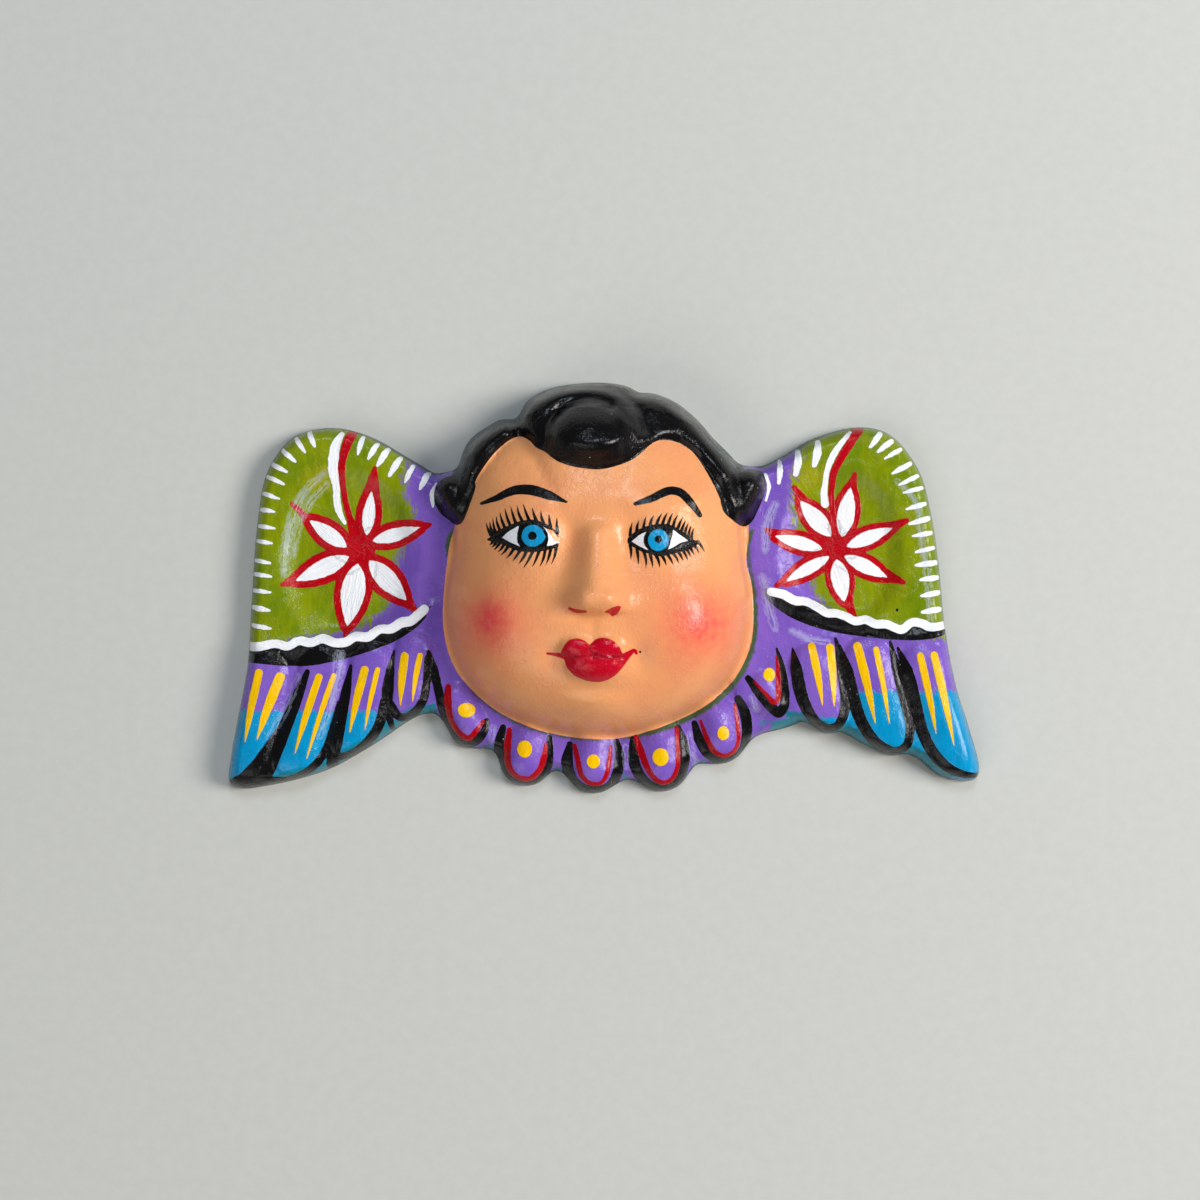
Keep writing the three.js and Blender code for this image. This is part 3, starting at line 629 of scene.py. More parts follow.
leftWingPaint = dict(
    field=[(-130, -19), (-130, 62), (-67, 62), (-65, 47), (-64.6, 40), (-66.2, 31), (-62.4, 23),
           (-66, 14.5), (-69.6, 5), (-70.4, -3), (-75, -10.5), (-85, -14.6), (-97, -16.8), (-108, -19)],
    tipLine=-41.2, tipStart=71.5,
    flower=dict(heart=(-81.2, 12.6, 5.4, 5.2), outline=2.35, petals=[  # base, tip, half width, red tip
        ((-78.8, 16.9), (-77.1, 31.6), 2.1, (-75.8, 39)), ((-76.9, 15), (-61, 19.5), 2.2, (-57.6, 20.4)),
        ((-78, 8.6), (-65.5, -4.6), 3.3, (-62, -8.4)), ((-81.7, 7.6), (-85.2, -13.1), 4, (-85.4, -16.2)),
        ((-84.6, 9.9), (-102.2, 1.9), 2.9, (-106.4, 0.6)),
        ((-85.4, 13), (-97.8, 22), 2.5, (-99.2, 23.8)),
    ]),
    strokes=[
        ("redUnder", [(-99, 23), (-101, 25.2), (-103.2, 27.3)], [1.2, 1, 0.7]),
        ("redUnder", [(-83.4, 50.9), (-85, 47.1), (-86.4, 42.6), (-86.9, 38.2), (-86.6, 33.8),
                      (-85.8, 28.6), (-84.6, 23.5), (-82.8, 18.3)], [1.6, 1.6, 1.3, 1.2, 1, 1, 1.1, 2]),
        ("white", [(-86.9, 50.4), (-88.7, 47), (-89.5, 42.6), (-89.6, 37.5), (-88.8, 33.1), (-88.6, 27.9),
                   (-87.4, 23.5), (-86, 21.1)], [0.9, 1.6, 1.7, 1.6, 1.2, 1.2, 1.1, 0.6]),
        ("black", [(-105.4, -42), (-108.9, -50), (-113.4, -58), (-118.2, -63.2), (-123.2, -65.6)],
         [0.3, 1.2, 2.2, 2.5, 1.8]),
        ("black", [(-97.9, -28.2), (-102, -38.4), (-107.3, -51), (-111.8, -62), (-115.2, -66)],
         [0.9, 1.9, 2.3, 2.6, 2.4, 1.8]),
        ("black", [(-123.6, -65.8), (-118, -66.6), (-112, -65.4)], [1.2, 1.2, 1.4]),
        ("black", [(-112.6, -64.4), (-104.2, -64), (-97, -60.4), (-92.4, -54.9), (-89.8, -47),
                   (-88, -38)], [1.5, 1.2, 1.3, 1.4, 1.1, 0.3]),
        ("black", [(-83.6, -26.3), (-85.4, -36), (-87.6, -46.6), (-90.2, -59)],
         [0.6, 1.7, 2.1, 2.4, 1.8]),
        ("black", [(-88.5, -56.7), (-83, -55.1), (-77.6, -50.7), (-74.2, -45.4), (-72.6, -38.1)],
         [1.3, 1.3, 1.5, 1.7, 1.4]),
        ("black", [(-69.4, -21.2), (-70.8, -29.5), (-71.6, -38.1), (-70.9, -43.4), (-70.2, -46.9)],
         [0.3, 1.4, 2, 1.7, 0.8]),
        ("black", [(-70.5, -39.1), (-67.4, -43.4), (-63.8, -42.5), (-60, -38.1), (-58.6, -31.8),
                   (-58.3, -23.6)], [1.5, 1.4, 1.4, 1.4, 1.3, 1]),
    ],
    wavy=[(-121.5, -19.2), (-114.8, -20), (-108.7, -18.9), (-104.6, -19.8), (-100.9, -18), (-97, -18.6),
          (-93, -17.3), (-89, -18.6), (-85.3, -18.4), (-82.3, -16.6), (-78, -16.7), (-74.2, -14.2),
          (-70.4, -14), (-66.9, -12), (-64, -11.4), (-61.4, -9.4), (-59.4, -7.6)],
    wavyHalf=[1.5, 1.5, 1.4, 1.5, 1.5, 1.6, 1.5, 1.7, 1.6],
    bandBelow=[(-122, -24.6), (-114, -25.5), (-106.1, -26.2), (-97.1, -26.2), (-87.6, -24.4),
               (-77.3, -21.4), (-66.9, -17), (-60, -11.6), (-56.9, -6.2)],
    yellow=[((-113.9, -28.6), (-118.5, -51.5), 1.35), ((-107, -30), (-114.5, -50.5), 1.6),
            ((-94.1, -30), (-102, -55.1), 1.25), ((-89.2, -29.5), (-98.1, -56.8), 0.9),
            ((-79, -27.6), (-83.9, -48.2), 1.35), ((-74.7, -27.5), (-79, -47.6), 0.85),
            ((-65.8, -23), (-67.2, -39.4), 1.35), ((-60.7, -22.8), (-63.2, -38), 0.95)],
)
rightWingPaint = dict(
    field=[(131, -13), (131, 62), (66, 62), (65.4, 46), (63.4, 38), (62.2, 27), (63.4, 20), (66, 11),
           (68.2, 2.5), (71.2, -3.8), (75, -9), (90, -14)],
    tipLine=-34.6, tipStart=79.5,
    flower=dict(heart=(77.3, 12.8, 4.8, 4.6), outline=1.95, petals=[
        ((79, 16.4), (81.9, 33), 2.9, (83.1, 37.2)), ((75.4, 16.6), (65, 28.4), 2.9, (63, 32.8)),
        ((72.6, 12.4), (56.5, 16.7), 2.2, (53.7, 18.7)), ((74.9, 10), (60.3, 1.7), 2, (57, 0.3)),
        ((77.2, 9.1), (79.8, -5.3), 3, (83, -10.1)), ((79.7, 10.2), (94, 3), 2.3, (99.3, 1.3)),
        ((80.5, 13.2), (95.6, 19.4), 2.3, (100.5, 22))]),
    strokes=[
        ("redUnder", [(84.3, 52.2), (81.9, 48.2), (79.5, 44.3), (77.3, 40.4), (75.9, 37), (75.6, 33.6),
                      (75.4, 28.8), (75.9, 24), (76.6, 18.2)],
         [1.8, 1.5, 1.4, 1.2, 1.3, 1, 1.2, 1.2, 1.5]),
        ("white", [(81.7, 51.3), (78.8, 47.7), (76.4, 44.3), (74.7, 40.9), (73.8, 38), (73.4, 34.6),
                   (73, 30.8), (73.4, 27.4)], [0.5, 0.9, 1, 1.1, 0.9, 0.9, 1.2, 1.3]),
        ("black", [(62.4, -20.4), (63.6, -27.5), (65, -35.1), (67.9, -42), (72.5, -46.6), (76.6, -46.5),
                   (79.1, -42.7), (79.8, -37.1), (78.8, -29.2), (77.6, -20.9), (76.6, -17.3)],
         [0.3, 1.9, 2.1, 2, 1.6, 1.5, 1.7, 1.8, 1.6, 1.4, 0.5]),
        ("black", [(78, -19.8), (80.8, -29.2), (82.5, -37.1), (85.4, -45.3), (89.8, -51.4), (95.7, -54.6),
                   (99.8, -53), (101.2, -47), (99.6, -38.4), (97.3, -29.2), (94.7, -18.4)],
         [0.6, 1.8, 2, 2, 1.8, 1.5, 1.6, 1.7, 1.9, 1.7, 0.5]),
        ("black", [(97.3, -20.4), (100.5, -28.5), (102.8, -38.4), (104.9, -47), (108.8, -55),
                   (114.2, -60.2), (120.6, -62.6), (124, -62.6)], [0.5, 1.7, 2, 2, 1.9, 1.8, 1.5, 0.9]),
        ("tips", [(72, -44.4), (75.6, -44.8)], [1.4, 1.6]),
    ],
    wavy=[(55.2, -1.8), (59.4, -2.7), (63.2, -4.7), (66.8, -5), (71, -7.1), (73.9, -8.8), (76.8, -8.9),
          (80.2, -10.1), (83.1, -11.5), (86.5, -11), (89.8, -12.4), (93.3, -12.5), (96.2, -13.7),
          (98.5, -14.3), (101.8, -12), (104.9, -12.2), (107.8, -13.4), (113.4, -12.8)],
    wavyHalf=[1.4, 1.6, 1.4, 1.5, 1.4, 1.4, 1.5, 1.4, 1.4, 1.5, 1.3],
    bandBelow=[(53.2, -0.4), (53.4, -3), (55.6, -5.8), (60.7, -9.6), (68, -12.9), (76.6, -15.2),
               (87.1, -16.8), (97.3, -17.7), (107.8, -17.4), (116, -15)],
    yellow=[((68.6, -19.8), (72.1, -39.3), 1.3), ((74.8, -20.2), (76, -39.7), 1.35),
            ((83.7, -19.8), (89.5, -45.3), 1.45), ((89.8, -20.8), (94.1, -44.9), 1),
            ((104.4, -23), (109.6, -48.6), 1.2), ((109, -22.8), (115.5, -52.5), 1.3)],
)
collarPaint = dict(
    black=[
        ([(-58, -21.6), (-56, -28.9), (-54.4, -35.9), (-53.1, -42.6), (-50.4, -48.6), (-46.2, -52.2),
          (-42.2, -51), (-39.5, -47.6), (-38.9, -44.6)], [0.7, 1.5, 1.5, 1.5, 1.6, 1.7, 1.7, 1.5, 1]),
        ([(-33.4, -46.8), (-34.6, -51.5), (-34.5, -57.7), (-31.9, -62.2), (-26.4, -64.6), (-21.8, -63.9),
          (-18.7, -60.1), (-17.9, -54.6), (-18, -50.3)], [1.1, 1.8, 1.9, 1.7, 1.4, 1.4, 1.4, 1.3, 1]),
        ([(-11.3, -52.3), (-12.2, -58.5), (-10.8, -63.8), (-7, -66.9), (-1.5, -67.5), (2.4, -65.7),
          (4.7, -60.8), (5.1, -55.4), (4.3, -51.5)], [1, 2, 2, 1.7, 1.5, 1.6, 1.8, 1.7, 1]),
        ([(9.8, -50.7), (9.8, -57), (12.1, -63), (16.4, -66.3), (21.1, -66.3), (25.1, -63.8),
          (26.8, -58.5), (26.5, -52.3), (24.6, -46.8)], [1.2, 1.9, 1.9, 1.6, 1.4, 1.6, 1.6, 1.6, 1]),
        ([(30, -45.3), (31.6, -50.7), (34.3, -55.2), (38.2, -57.8), (42.1, -57.4), (45.9, -54.6),
          (47.4, -48.4), (46.8, -42.2), (44.5, -37.3)], [1, 1.7, 1.7, 1.5, 1.4, 1.6, 1.8, 1.9, 1.3]),
        ([(47.7, -30.4), (51.5, -35.3), (55.3, -39.9), (58, -41.8), (59.6, -39.4), (59.7, -32.8),
          (58.6, -25.6), (57.2, -20.6)], [1.1, 1.7, 1.7, 1.7, 1.6, 1.5, 1.1, 0.4]),
    ],
    red=[
        ([(-51.5, -33.2), (-51.5, -39.8), (-50.2, -45.2), (-47.5, -48.8), (-44.8, -50.2), (-42.2, -47.6),
          (-39.9, -44.6)], [1, 1.4, 1.1, 1, 1, 0.9, 0.5]),
        ([(-31.3, -47.6), (-31.9, -53.1), (-31.9, -57.7), (-30.6, -61.4), (-27.6, -63.5), (-24.2, -63.5),
          (-21.3, -60.6), (-19.8, -56.2), (-19.2, -52.3)], [0.9, 1.2, 1.2, 1.1, 0.9, 0.9, 1, 1, 0.6]),
        ([(-9.7, -52.7), (-8.6, -57.7), (-7.4, -62.4), (-4.6, -65.1), (-1.1, -65.1), (0.9, -62.2),
          (1.8, -57), (2.2, -53.1)], [0.7, 0.9, 0.9, 0.8, 0.7, 0.8, 0.8, 0.5]),
        ([(10.6, -49.9), (12.3, -54.6), (14, -59.3), (16.3, -63), (19.5, -65), (22.5, -63.7),
          (24.4, -59.3), (24.4, -53.8), (24, -47)], [0.8, 1.2, 1.1, 0.9, 0.8, 0.8, 0.8, 0.8, 0.7]),
        ([(32, -44.5), (33.9, -49.9), (36.2, -54.2), (39.4, -56), (42.9, -54.8), (44.5, -51.3),
          (44.3, -46), (43.3, -39)], [0.4, 0.8, 0.9, 0.7, 0.7, 0.8, 0.8, 0.5]),
        ([(49.8, -31.6), (53.6, -35.6), (56.1, -38.2), (57.3, -37.5), (57.7, -32.8), (57.5, -26.6),
          (57, -22.9)], [0.4, 0.6, 0.9, 0.9, 0.9, 0.7, 0.3]),
    ],
    dots=[(-45.4, -40.9, 2.9, 2.4), (-26.2, -53.7, 2.45, 2.85), (-3.5, -57.8, 2.2, 2.35),
          (18.7, -56.4, 2.7, 2.95), (39.4, -48.5, 1.95, 2.35), (54.7, -29.2, 2, 2.3)],
)
facePaint = dict(
    skin=[(-49, 20.4), (-50.8, 14.6), (-51.9, 7.1), (-52.9, -2.8), (-53.2, -10.4), (-52.3, -18.3),
          (-49.3, -26.9), (-43.5, -34.5), (-34.9, -41.5), (-24.1, -46.6), (-12.2, -49.6), (-1.3, -50.4),
          (6.3, -50), (18.2, -46.7), (31.7, -40.6), (40.5, -33.6), (45.4, -26.9), (48.7, -18.3),
          (49.4, -7.4), (48.7, 1.2), (47, 8), (47.8, 19.9), (42, 42), (22, 56), (-3, 58), (-25, 56),
          (-45, 42)],
    curls=[[(-50, 36.5), (-54.2, 34.6), (-55.9, 32), (-56, 27.6), (-54.2, 24.3), (-51.3, 21.9),
            (-48.5, 20.2), (-46.6, 20.8), (-45, 23.6), (-44, 26.2), (-42, 34)],
           [(44, 38), (51.8, 38.4), (53.5, 35), (53.1, 30.7), (51.2, 25.8), (49, 21.5), (46.8, 19.9),
            (44.5, 20.1), (41.7, 21.9), (39, 24.4), (38, 30)]],
    crown=[(62, 34), (64, 80), (-64, 80), (-64, 34)],
    hairline=[(-44.4, 28), (-43, 31.7), (-41.3, 35.5), (-38.7, 39.4), (-35.7, 43.3), (-30.6, 47.8),
              (-27.2, 48.9), (-24, 47.2), (-22, 45), (-19, 43.4), (-15.5, 40.6), (-10.3, 38.6),
              (-5.2, 37.8), (-1.6, 37.6), (3.2, 38.5), (8.7, 40.6), (12, 43), (15.2, 45.9), (17.6, 47.2),
              (21, 47.4), (24.7, 46.5), (29.2, 43.4), (33.4, 37.1), (36, 32.2), (38, 28)],
    brows=[
        ([(-39.9, 26.8), (-34.5, 28.6), (-29.3, 30.8), (-23.8, 31), (-18, 29.3), (-12, 27)],
         [0.5, 1.1, 1.5, 1.75, 1.5, 0.35]),
        ([(10, 26.4), (15.4, 28.2), (21, 30.7), (24.6, 30.2), (27.9, 27), (31, 23)],
         [0.6, 1.2, 1.4, 1.4, 1.3, 0.8]),
    ],
    lips=[(-13.8, -21.6), (-13, -19.4), (-11.2, -17.4), (-8.6, -16.8), (-6.1, -17.6), (-4.6, -18.8),
          (-3.9, -18.2), (-2.4, -17), (-0.3, -16.6), (2.5, -17.3), (4.8, -19.3), (6.4, -22),
          (9.4, -21.4), (8, -23.4), (5.8, -26.4), (3.5, -28.8), (0.3, -30.5), (-2.6, -30.9),
          (-6.1, -30.3), (-9.6, -28.7), (-11.9, -26.2), (-12.9, -23.3)],
    mouthStrokes=[([(-18.2, -21.7), (-15.6, -22), (-12.6, -22.6)], [0.4, 0.6, 1]),
                  ([(6, -23), (8.2, -21.4), (9.8, -20.6), (10.4, -21.6)], [1.2, 0.8, 0.6, 0.5]),
                  ([(-11.2, -7.2), (-9, -8), (-5.8, -8.2)], [0.4, 0.7, 0.4])],
    nostril=[(-0.3, -8.3), (2.4, -7), (4.5, -6.2), (5.4, -6.6), (5.1, -7.7), (4, -9.1), (2.6, -9.8),
             (2, -9.1), (1.2, -8.7)],
    seam=[([(-4.2, -18.8), (-4.3, -20.6), (-3, -21.9), (1, -22.5), (6, -22.8)],
           [0.1, 0.25, 0.4, 0.4, 0.2]),
          ([(-11, -22.7), (-7, -22.6), (-3.6, -22)], [0.05, 0.2, 0.3]),
          ([(-8.6, -8.1), (-6, -8.3)], [0.3, 0.3])],
    blush=[(-36.6, -9.2, 5.6, 4.6, 0.3), (-37, -12.6, 9.8, 11.4, 0.78), (31.6, -12, 12, 11, 0.66),
           (27, -13, 15, 14, 0.22)],
    specks=[(11.6, -21.2, 0.4), (97, -7.8, 0.5)],
    skinGrown=0.1, whitesGrown=0.2, lashHalf=0.56, hairOverEdge=1.2,
)
eyes = [
    dict(
        lids=[(-37.9, 15), (-36.6, 16.1), (-35.6, 17.2), (-33.2, 18.5), (-30.7, 19.5), (-28.3, 20.5),
              (-25.8, 21.1), (-23.9, 21.3), (-21.7, 21.1), (-19.4, 20.3), (-17.5, 19.3), (-15.8, 18.1),
              (-14.4, 18), (-14.5, 16.8), (-14.9, 14.6), (-14.7, 12.7), (-17.2, 11.8), (-19.7, 11.2),
              (-22.1, 10.9), (-24.8, 10.9), (-27.3, 11.2), (-29.5, 11.9), (-32, 13.1), (-34.4, 14.2),
              (-36.6, 14.5)],
        whites=[[(-32.9, 15.6), (-31.7, 16.8), (-30.2, 17.9), (-27.4, 19.4), (-27.8, 17.3), (-28, 15.4),
                 (-27.8, 13.9), (-27, 12.7), (-30.2, 14.1)],
                [(-19.6, 19.2), (-18.5, 18.3), (-17.2, 16.4), (-16.2, 14.7), (-14.5, 14), (-16.5, 13.1),
                 (-18.3, 12.8), (-17.8, 14.9), (-18, 16.8), (-18.8, 18.1)]],
        bare=[[(-18.5, 18.4), (-16.5, 17.8), (-14.9, 15.9), (-14.4, 14.2), (-16, 14.5), (-17.1, 16.5)]],
        iris=[(-22.9, 16.1, 3.55, 3.5), (-21.7, 15.7, 2.7, 2.4)], pupil=(-23, 16.1, 1.4),
        lashes=[
            (13, [(-36.7, 16.6), (-35.2, 17.5), (-32.1, 19), (-28.5, 20.4), (-24.1, 21.2), (-19.5, 20.3),
                  (-14.9, 17.6)],
             [(-38.2, 20.5), (-36, 21.6), (-33.6, 23.7), (-30.1, 25.8), (-25.9, 26.1), (-20.3, 24.1),
              (-15.1, 21.8)]),
            (13, [(-35.9, 14.4), (-33.7, 13.8), (-31, 12.6), (-27, 11.4), (-22.9, 11), (-18.9, 11.4),
                  (-15.3, 12.8)],
             [(-37.1, 13.3), (-35.5, 11.7), (-33.1, 10.1), (-29.5, 7.9), (-25.6, 6.2), (-20.6, 6.2),
              (-16.8, 7.2)])],
    ),
    dict(
        lids=[(7.5, 14), (7.9, 15.8), (9.3, 16.9), (11.2, 18.2), (13.7, 19.2), (15.6, 19.7), (17.6, 19.9),
              (20.1, 19.9), (22, 19.4), (24, 18.3), (26.5, 16.7), (28.3, 15.3), (29.7, 14.7),
              (30.8, 14.3), (29.2, 12.7), (26.5, 11.5), (24, 10.8), (21.5, 10.1), (19.1, 9.6),
              (16.6, 9.6), (14.7, 10.4), (12.7, 10.7), (10.5, 11.9), (8.5, 13)],
        whites=[[(8.9, 14.3), (11.2, 16.3), (13.5, 17.4), (12.8, 15.8), (12.7, 13.9), (13.2, 12.6),
                 (14.5, 11.3), (11.7, 12.6)],
                [(22.2, 18.1), (24.2, 16.6), (27.1, 14.6), (24.5, 13.9), (22.5, 12.6), (20.5, 11.6),
                 (21.2, 13.4), (21.4, 14.5), (22, 16.4)]],
        bare=[],
        iris=[(17.4, 14.7, 3.3, 3.5)], pupil=(17.4, 15, 1.2),
        lashes=[
            (13, [(8.4, 16.3), (12.7, 18.6), (16.9, 19.8), (20.6, 19.8), (23.8, 18.7), (26.1, 17),
                  (28.2, 15.2)],
             [(9.1, 20.4), (13.4, 22.1), (18.6, 23.3), (22.1, 23.6), (25.3, 22), (27.2, 20.2),
              (28.9, 18.5)]),
            (14, [(8.4, 13.1), (13.1, 10.9), (17.4, 9.7), (21.3, 10.3), (25, 11.3), (27.7, 12.1),
                  (30.3, 14.3)],
             [(8.6, 8.8), (13.9, 5.7), (18.6, 6.2), (23.1, 7.4), (26.5, 8.5), (28.8, 10), (32.4, 11.2)])],
    ),
]


def paintWing(wing, spec, side):
    fill("field", smoothLine(spec["field"], closed=True, steps=3))
    isTip = at[:, 0] * side > spec["tipStart"]
    coats["tips"][isTip] = (spec["tipLine"] - at[:, 1])[isTip]
    flower(spec["flower"])
    band = np.concatenate([smoothLine(spec["bandBelow"]), smoothLine(spec["wavy"])[::-1]])
    fill("black", band)
    for coat, points, half in spec["strokes"]:
        stroke(coat, points, half)
    stroke("white", spec["wavy"], spec["wavyHalf"])
    for top, bottom, half in spec["yellow"]:
        middle = np.array(top) * 0.5 + np.array(bottom) * 0.5 + (0.25 * side, 0)
        stroke("yellow", [top, middle, bottom], [half, half * 1.05, half * 0.75, 0.15])


print("painting the wings")
paintWing(leftWing, leftWingPaint, -1)
paintWing(rightWing, rightWingPaint, 1)
rimMarks = [
    dict(wing=leftWing, first=(-98.6, 52.2), last=(-118, -13.4), onwards=True, count=14,
         gap=0.9, length=6.2, half=0.85, lean=(0.22, -0.14), seed=11),
    dict(wing=leftWing, first=(-79.4, 50.8), last=(-58.2, 38.8), onwards=False, count=6,
         gap=1.4, length=6.2, half=1, lean=(0.02, -0.04), seed=12),
    dict(wing=rightWing, first=(92.2, 52.1), last=(113.4, -7.4), onwards=True, count=14,
         gap=1.7, length=6.6, half=0.9, lean=(-0.5, -0.16), seed=13),
]
marksByHead = [
    ([(70.9, 47.9), (70.5, 44), (69.6, 40)], [0.8, 1.5, 0.8]),
    ([(64.3, 44.8), (64.2, 41), (63.5, 37.2)], [0.8, 1.3, 0.9]),
    ([(58.3, 41.8), (58.2, 38), (57.8, 34.2)], [0.5, 1.05, 0.6]),
    ([(53.4, 37), (54.6, 33.4), (53.6, 28.4)], [0.5, 0.6, 0.4]),
    ([(-55.4, 34), (-56.8, 30.6), (-56.6, 26.4)], [0.4, 0.9, 0.4]),
]
for spec in rimMarks:
    rimTicks(spec)
for points, half in marksByHead:
    stroke("white", points, half)
# the wavy lines lie over the black bands, so they are cut out of the black
for spec in (leftWingPaint, rightWingPaint):
    away, along, _, length = toLine(at, smoothLine(spec["wavy"]))
    half = np.interp(along / length, np.linspace(0, 1, len(spec["wavyHalf"])), spec["wavyHalf"])
    coats["black"][:] = np.minimum(coats["black"], away - half)

print("painting the collar")
for points, half in collarPaint["black"]:
    stroke("black", points, half)
for points, half in collarPaint["red"]:
    stroke("redOver", points, half)
for x, y, wide, tall in collarPaint["dots"]:
    dot("yellow", x, y, wide, tall)

print("painting the face")
fill("skin", smoothLine(facePaint["skin"], closed=True, steps=4), facePaint["skinGrown"])
hairLoop = np.concatenate([smoothLine(facePaint["hairline"]), facePaint["crown"]])
overHead = headRadius(at) - fromHead(at) + facePaint["hairOverEdge"]
coats["black"][:] = np.maximum(coats["black"], np.minimum(insideLoop(at, hairLoop), overHead))
for loop in facePaint["curls"]:
    fill("black", smoothLine(loop, closed=True, steps=4))
for points, half in facePaint["brows"]:
    stroke("black", points, half)
for eye in eyes:
    fill("black", smoothLine(eye["lids"], closed=True, steps=3))
    for count, roots, tips in eye["lashes"]:
        lashes(count, roots, tips, facePaint["lashHalf"], len(roots) + count)
    for loop in eye["whites"]:
        fill("white", loop, facePaint["whitesGrown"])
    for loop in eye["bare"]:
        cutOut("white", np.array(loop, float))
    for loop in eye["whites"] + eye["bare"]:
        cutOut("black", np.array(loop, float))
    for spot in eye["iris"]:
        dot("iris", *spot)
    dot("pupil", *eye["pupil"], eye["pupil"][2])
fill("lips", smoothLine(facePaint["lips"], closed=True, steps=3))
fill("lips", facePaint["nostril"])
for points, half in facePaint["mouthStrokes"]:
    stroke("lips", points, half)
for points, half in facePaint["seam"]:
    stroke("seam", points, half)
for x, y, radius in facePaint["specks"]:
    dot("black", x, y, radius, radius)
blush = sum(bell(at, *form) for form in facePaint["blush"])

# The dark green clay coat that shows along the jaw, with painted shadow in its thin line under the chin,
# and the teal on the walls under the feathers
undercoat = dict(
    jaw=[([(48.8, 18), (47.6, 13), (48.2, 7), (49.3, 0), (50, -8), (49.2, -18.6), (45.9, -27.3),
           (40.8, -34.2), (32, -41.2), (18.4, -47.3), (6.4, -50.6)],
          [0.8, 0.5, 0.7, 0.9, 1.1, 1.2, 1.2, 1.2, 1, 0.8, 0.4]),
         ([(-50.2, 18.4), (-51.2, 14.6), (-51.8, 10.4)], [0.6, 1.1, 0.5]),
         # under the chin: dark green paint and painted shadow where the chin meets the collar
         ([(-43.7, -34.9), (-35.1, -41.9), (-24.3, -47), (-12.2, -50), (-1.3, -50.8)],
          [0.1, 0.3, 0.4, 0.3, 0.3]),
         ([(-80.4, 51.2), (-67, 44.4), (-57, 38)], [0.4, 1, 0.8]),
         ([(53, 40.2), (61, 44.5), (69, 49)], [0.9, 0.9, 0.5])],
    moss=[(68.8, 36.8, 6, 4.6), (-92.4, 36, 7, 4)],
    tealWidth=3.4, tealBelow=-38, tealBeyond=55.5, tealEnds=(-113, 116),
    notches=[(-38.3, -54.4, 1.7, 1.4), (-15.4, -61.4, 1, 1.4), (6.9, -63, 0.8, 1.2),
             (32.4, -59.6, 2, 1.3), (53.2, -45, 1.4, 0.8), (61.6, -42.4, 1.8, 1.4)],
)
for points, half in undercoat["jaw"]:
    stroke("jaw", points, half)
tealEnds = undercoat["tealEnds"]
lowEdge = (at[:, 1] < undercoat["tealBelow"]) & (np.abs(at[:, 0]) > undercoat["tealBeyond"])
lowEdge &= (at[:, 0] > tealEnds[0]) & (at[:, 0] < tealEnds[1])
coats["teal"][lowEdge] = (undercoat["tealWidth"] - inside)[lowEdge]
for spot in undercoat["notches"]:
    dot("teal", *spot)
for spot in undercoat["moss"]:
    dot("moss", *spot)

# Pale marks over the paint, partly dry brushing and partly painted highlights and reflections of the
# varnish, on the bowls, the right wing, beside two strokes and between the collar's feathers
dryAndSheenMarks = [
    ([(-92.6, 37.4), (-98.6, 32), (-103.4, 22), (-105.8, 10), (-106, 4)], [0.5, 0.9, 1.2, 1.2, 0.6]),
    ([(-92, 33.6), (-97.6, 27.6), (-101.4, 19), (-103, 10)], [0.5, 0.6, 0.5, 0.3]),
    ([(-87.4, -22.6), (-88, -30), (-90.6, -41), (-94, -50)], [1.3, 1.1, 0.7, 0.4]),
    ([(-101, -30), (-105.2, -40.5), (-110.6, -50)], [0.6, 0.8, 0.4]),
    ([(96.6, 35), (103, 28.3), (105, 16.2), (107, 1.7), (107.9, -11.4)], [0.4, 0.5, 0.6, 0.6, 0.4]),
    ([(56.4, 27), (54, 20), (53.4, 12)], [0.9, 1.2, 0.7]),
    ([(52.4, 3), (54.6, -7), (56.6, -14)], [0.9, 1.3, 0.7]),
    ([(62, -14.6), (68, -17.4), (74, -18.6)], [0.6, 0.8, 0.5]),
    ([(49, -36.6), (50.6, -41)], [0.7, 0.6]),
    ([(28.4, -49), (28.8, -54), (30.4, -58.6)], [0.6, 0.7, 0.5]),
    ([(7.2, -53), (7.2, -60)], [0.6, 0.5]),
    ([(-36.6, -47), (-37.2, -51.4)], [0.6, 0.5]),
]
for points, half in dryAndSheenMarks:
    stroke("dryAndSheen", points, half)
print("painted", strokeCount, "strokes")

crisp = [coats[name] for name in coats if name not in ("field", "teal", "tips", "dryAndSheen", "jaw")]
toEdge = np.min(np.abs(crisp), axis=0)
keep = (level <= 0) | ((level == 1) & (toEdge < mesh["strokeBand"]))
keep |= (level == 2) & (toEdge < mesh["eyeBand"])
at, inside, blush = at[keep], inside[keep], blush[keep]
brush, dryAndSheenBrush = brush[keep], dryAndSheenBrush[keep]
coats = {name: coat[keep] for name, coat in coats.items()}
front = at[ringCount * len(rings):]


# The clay itself

def trianglesOver(loop, inner):
    # Delaunay triangles inside a closed loop, with the loop's points first
    points = [Vector(p) for p in np.concatenate([loop, inner])]
    made = delaunay_2d_cdt(points, [], [list(range(len(loop)))], 1, 1e-6)
    if len(made[0]) != len(points):
        raise SystemExit("the grid's points ran together")
    return np.array(made[2])


def strip(outer, inner, count):
    # two triangles for each step between two rings
    k = np.arange(count)
    after = (k + 1) % count
    first = np.stack([outer + k, outer + after, inner + after], 1)
    second = np.stack([outer + k, inner + after, inner + k], 1)
    return np.concatenate([first, second])


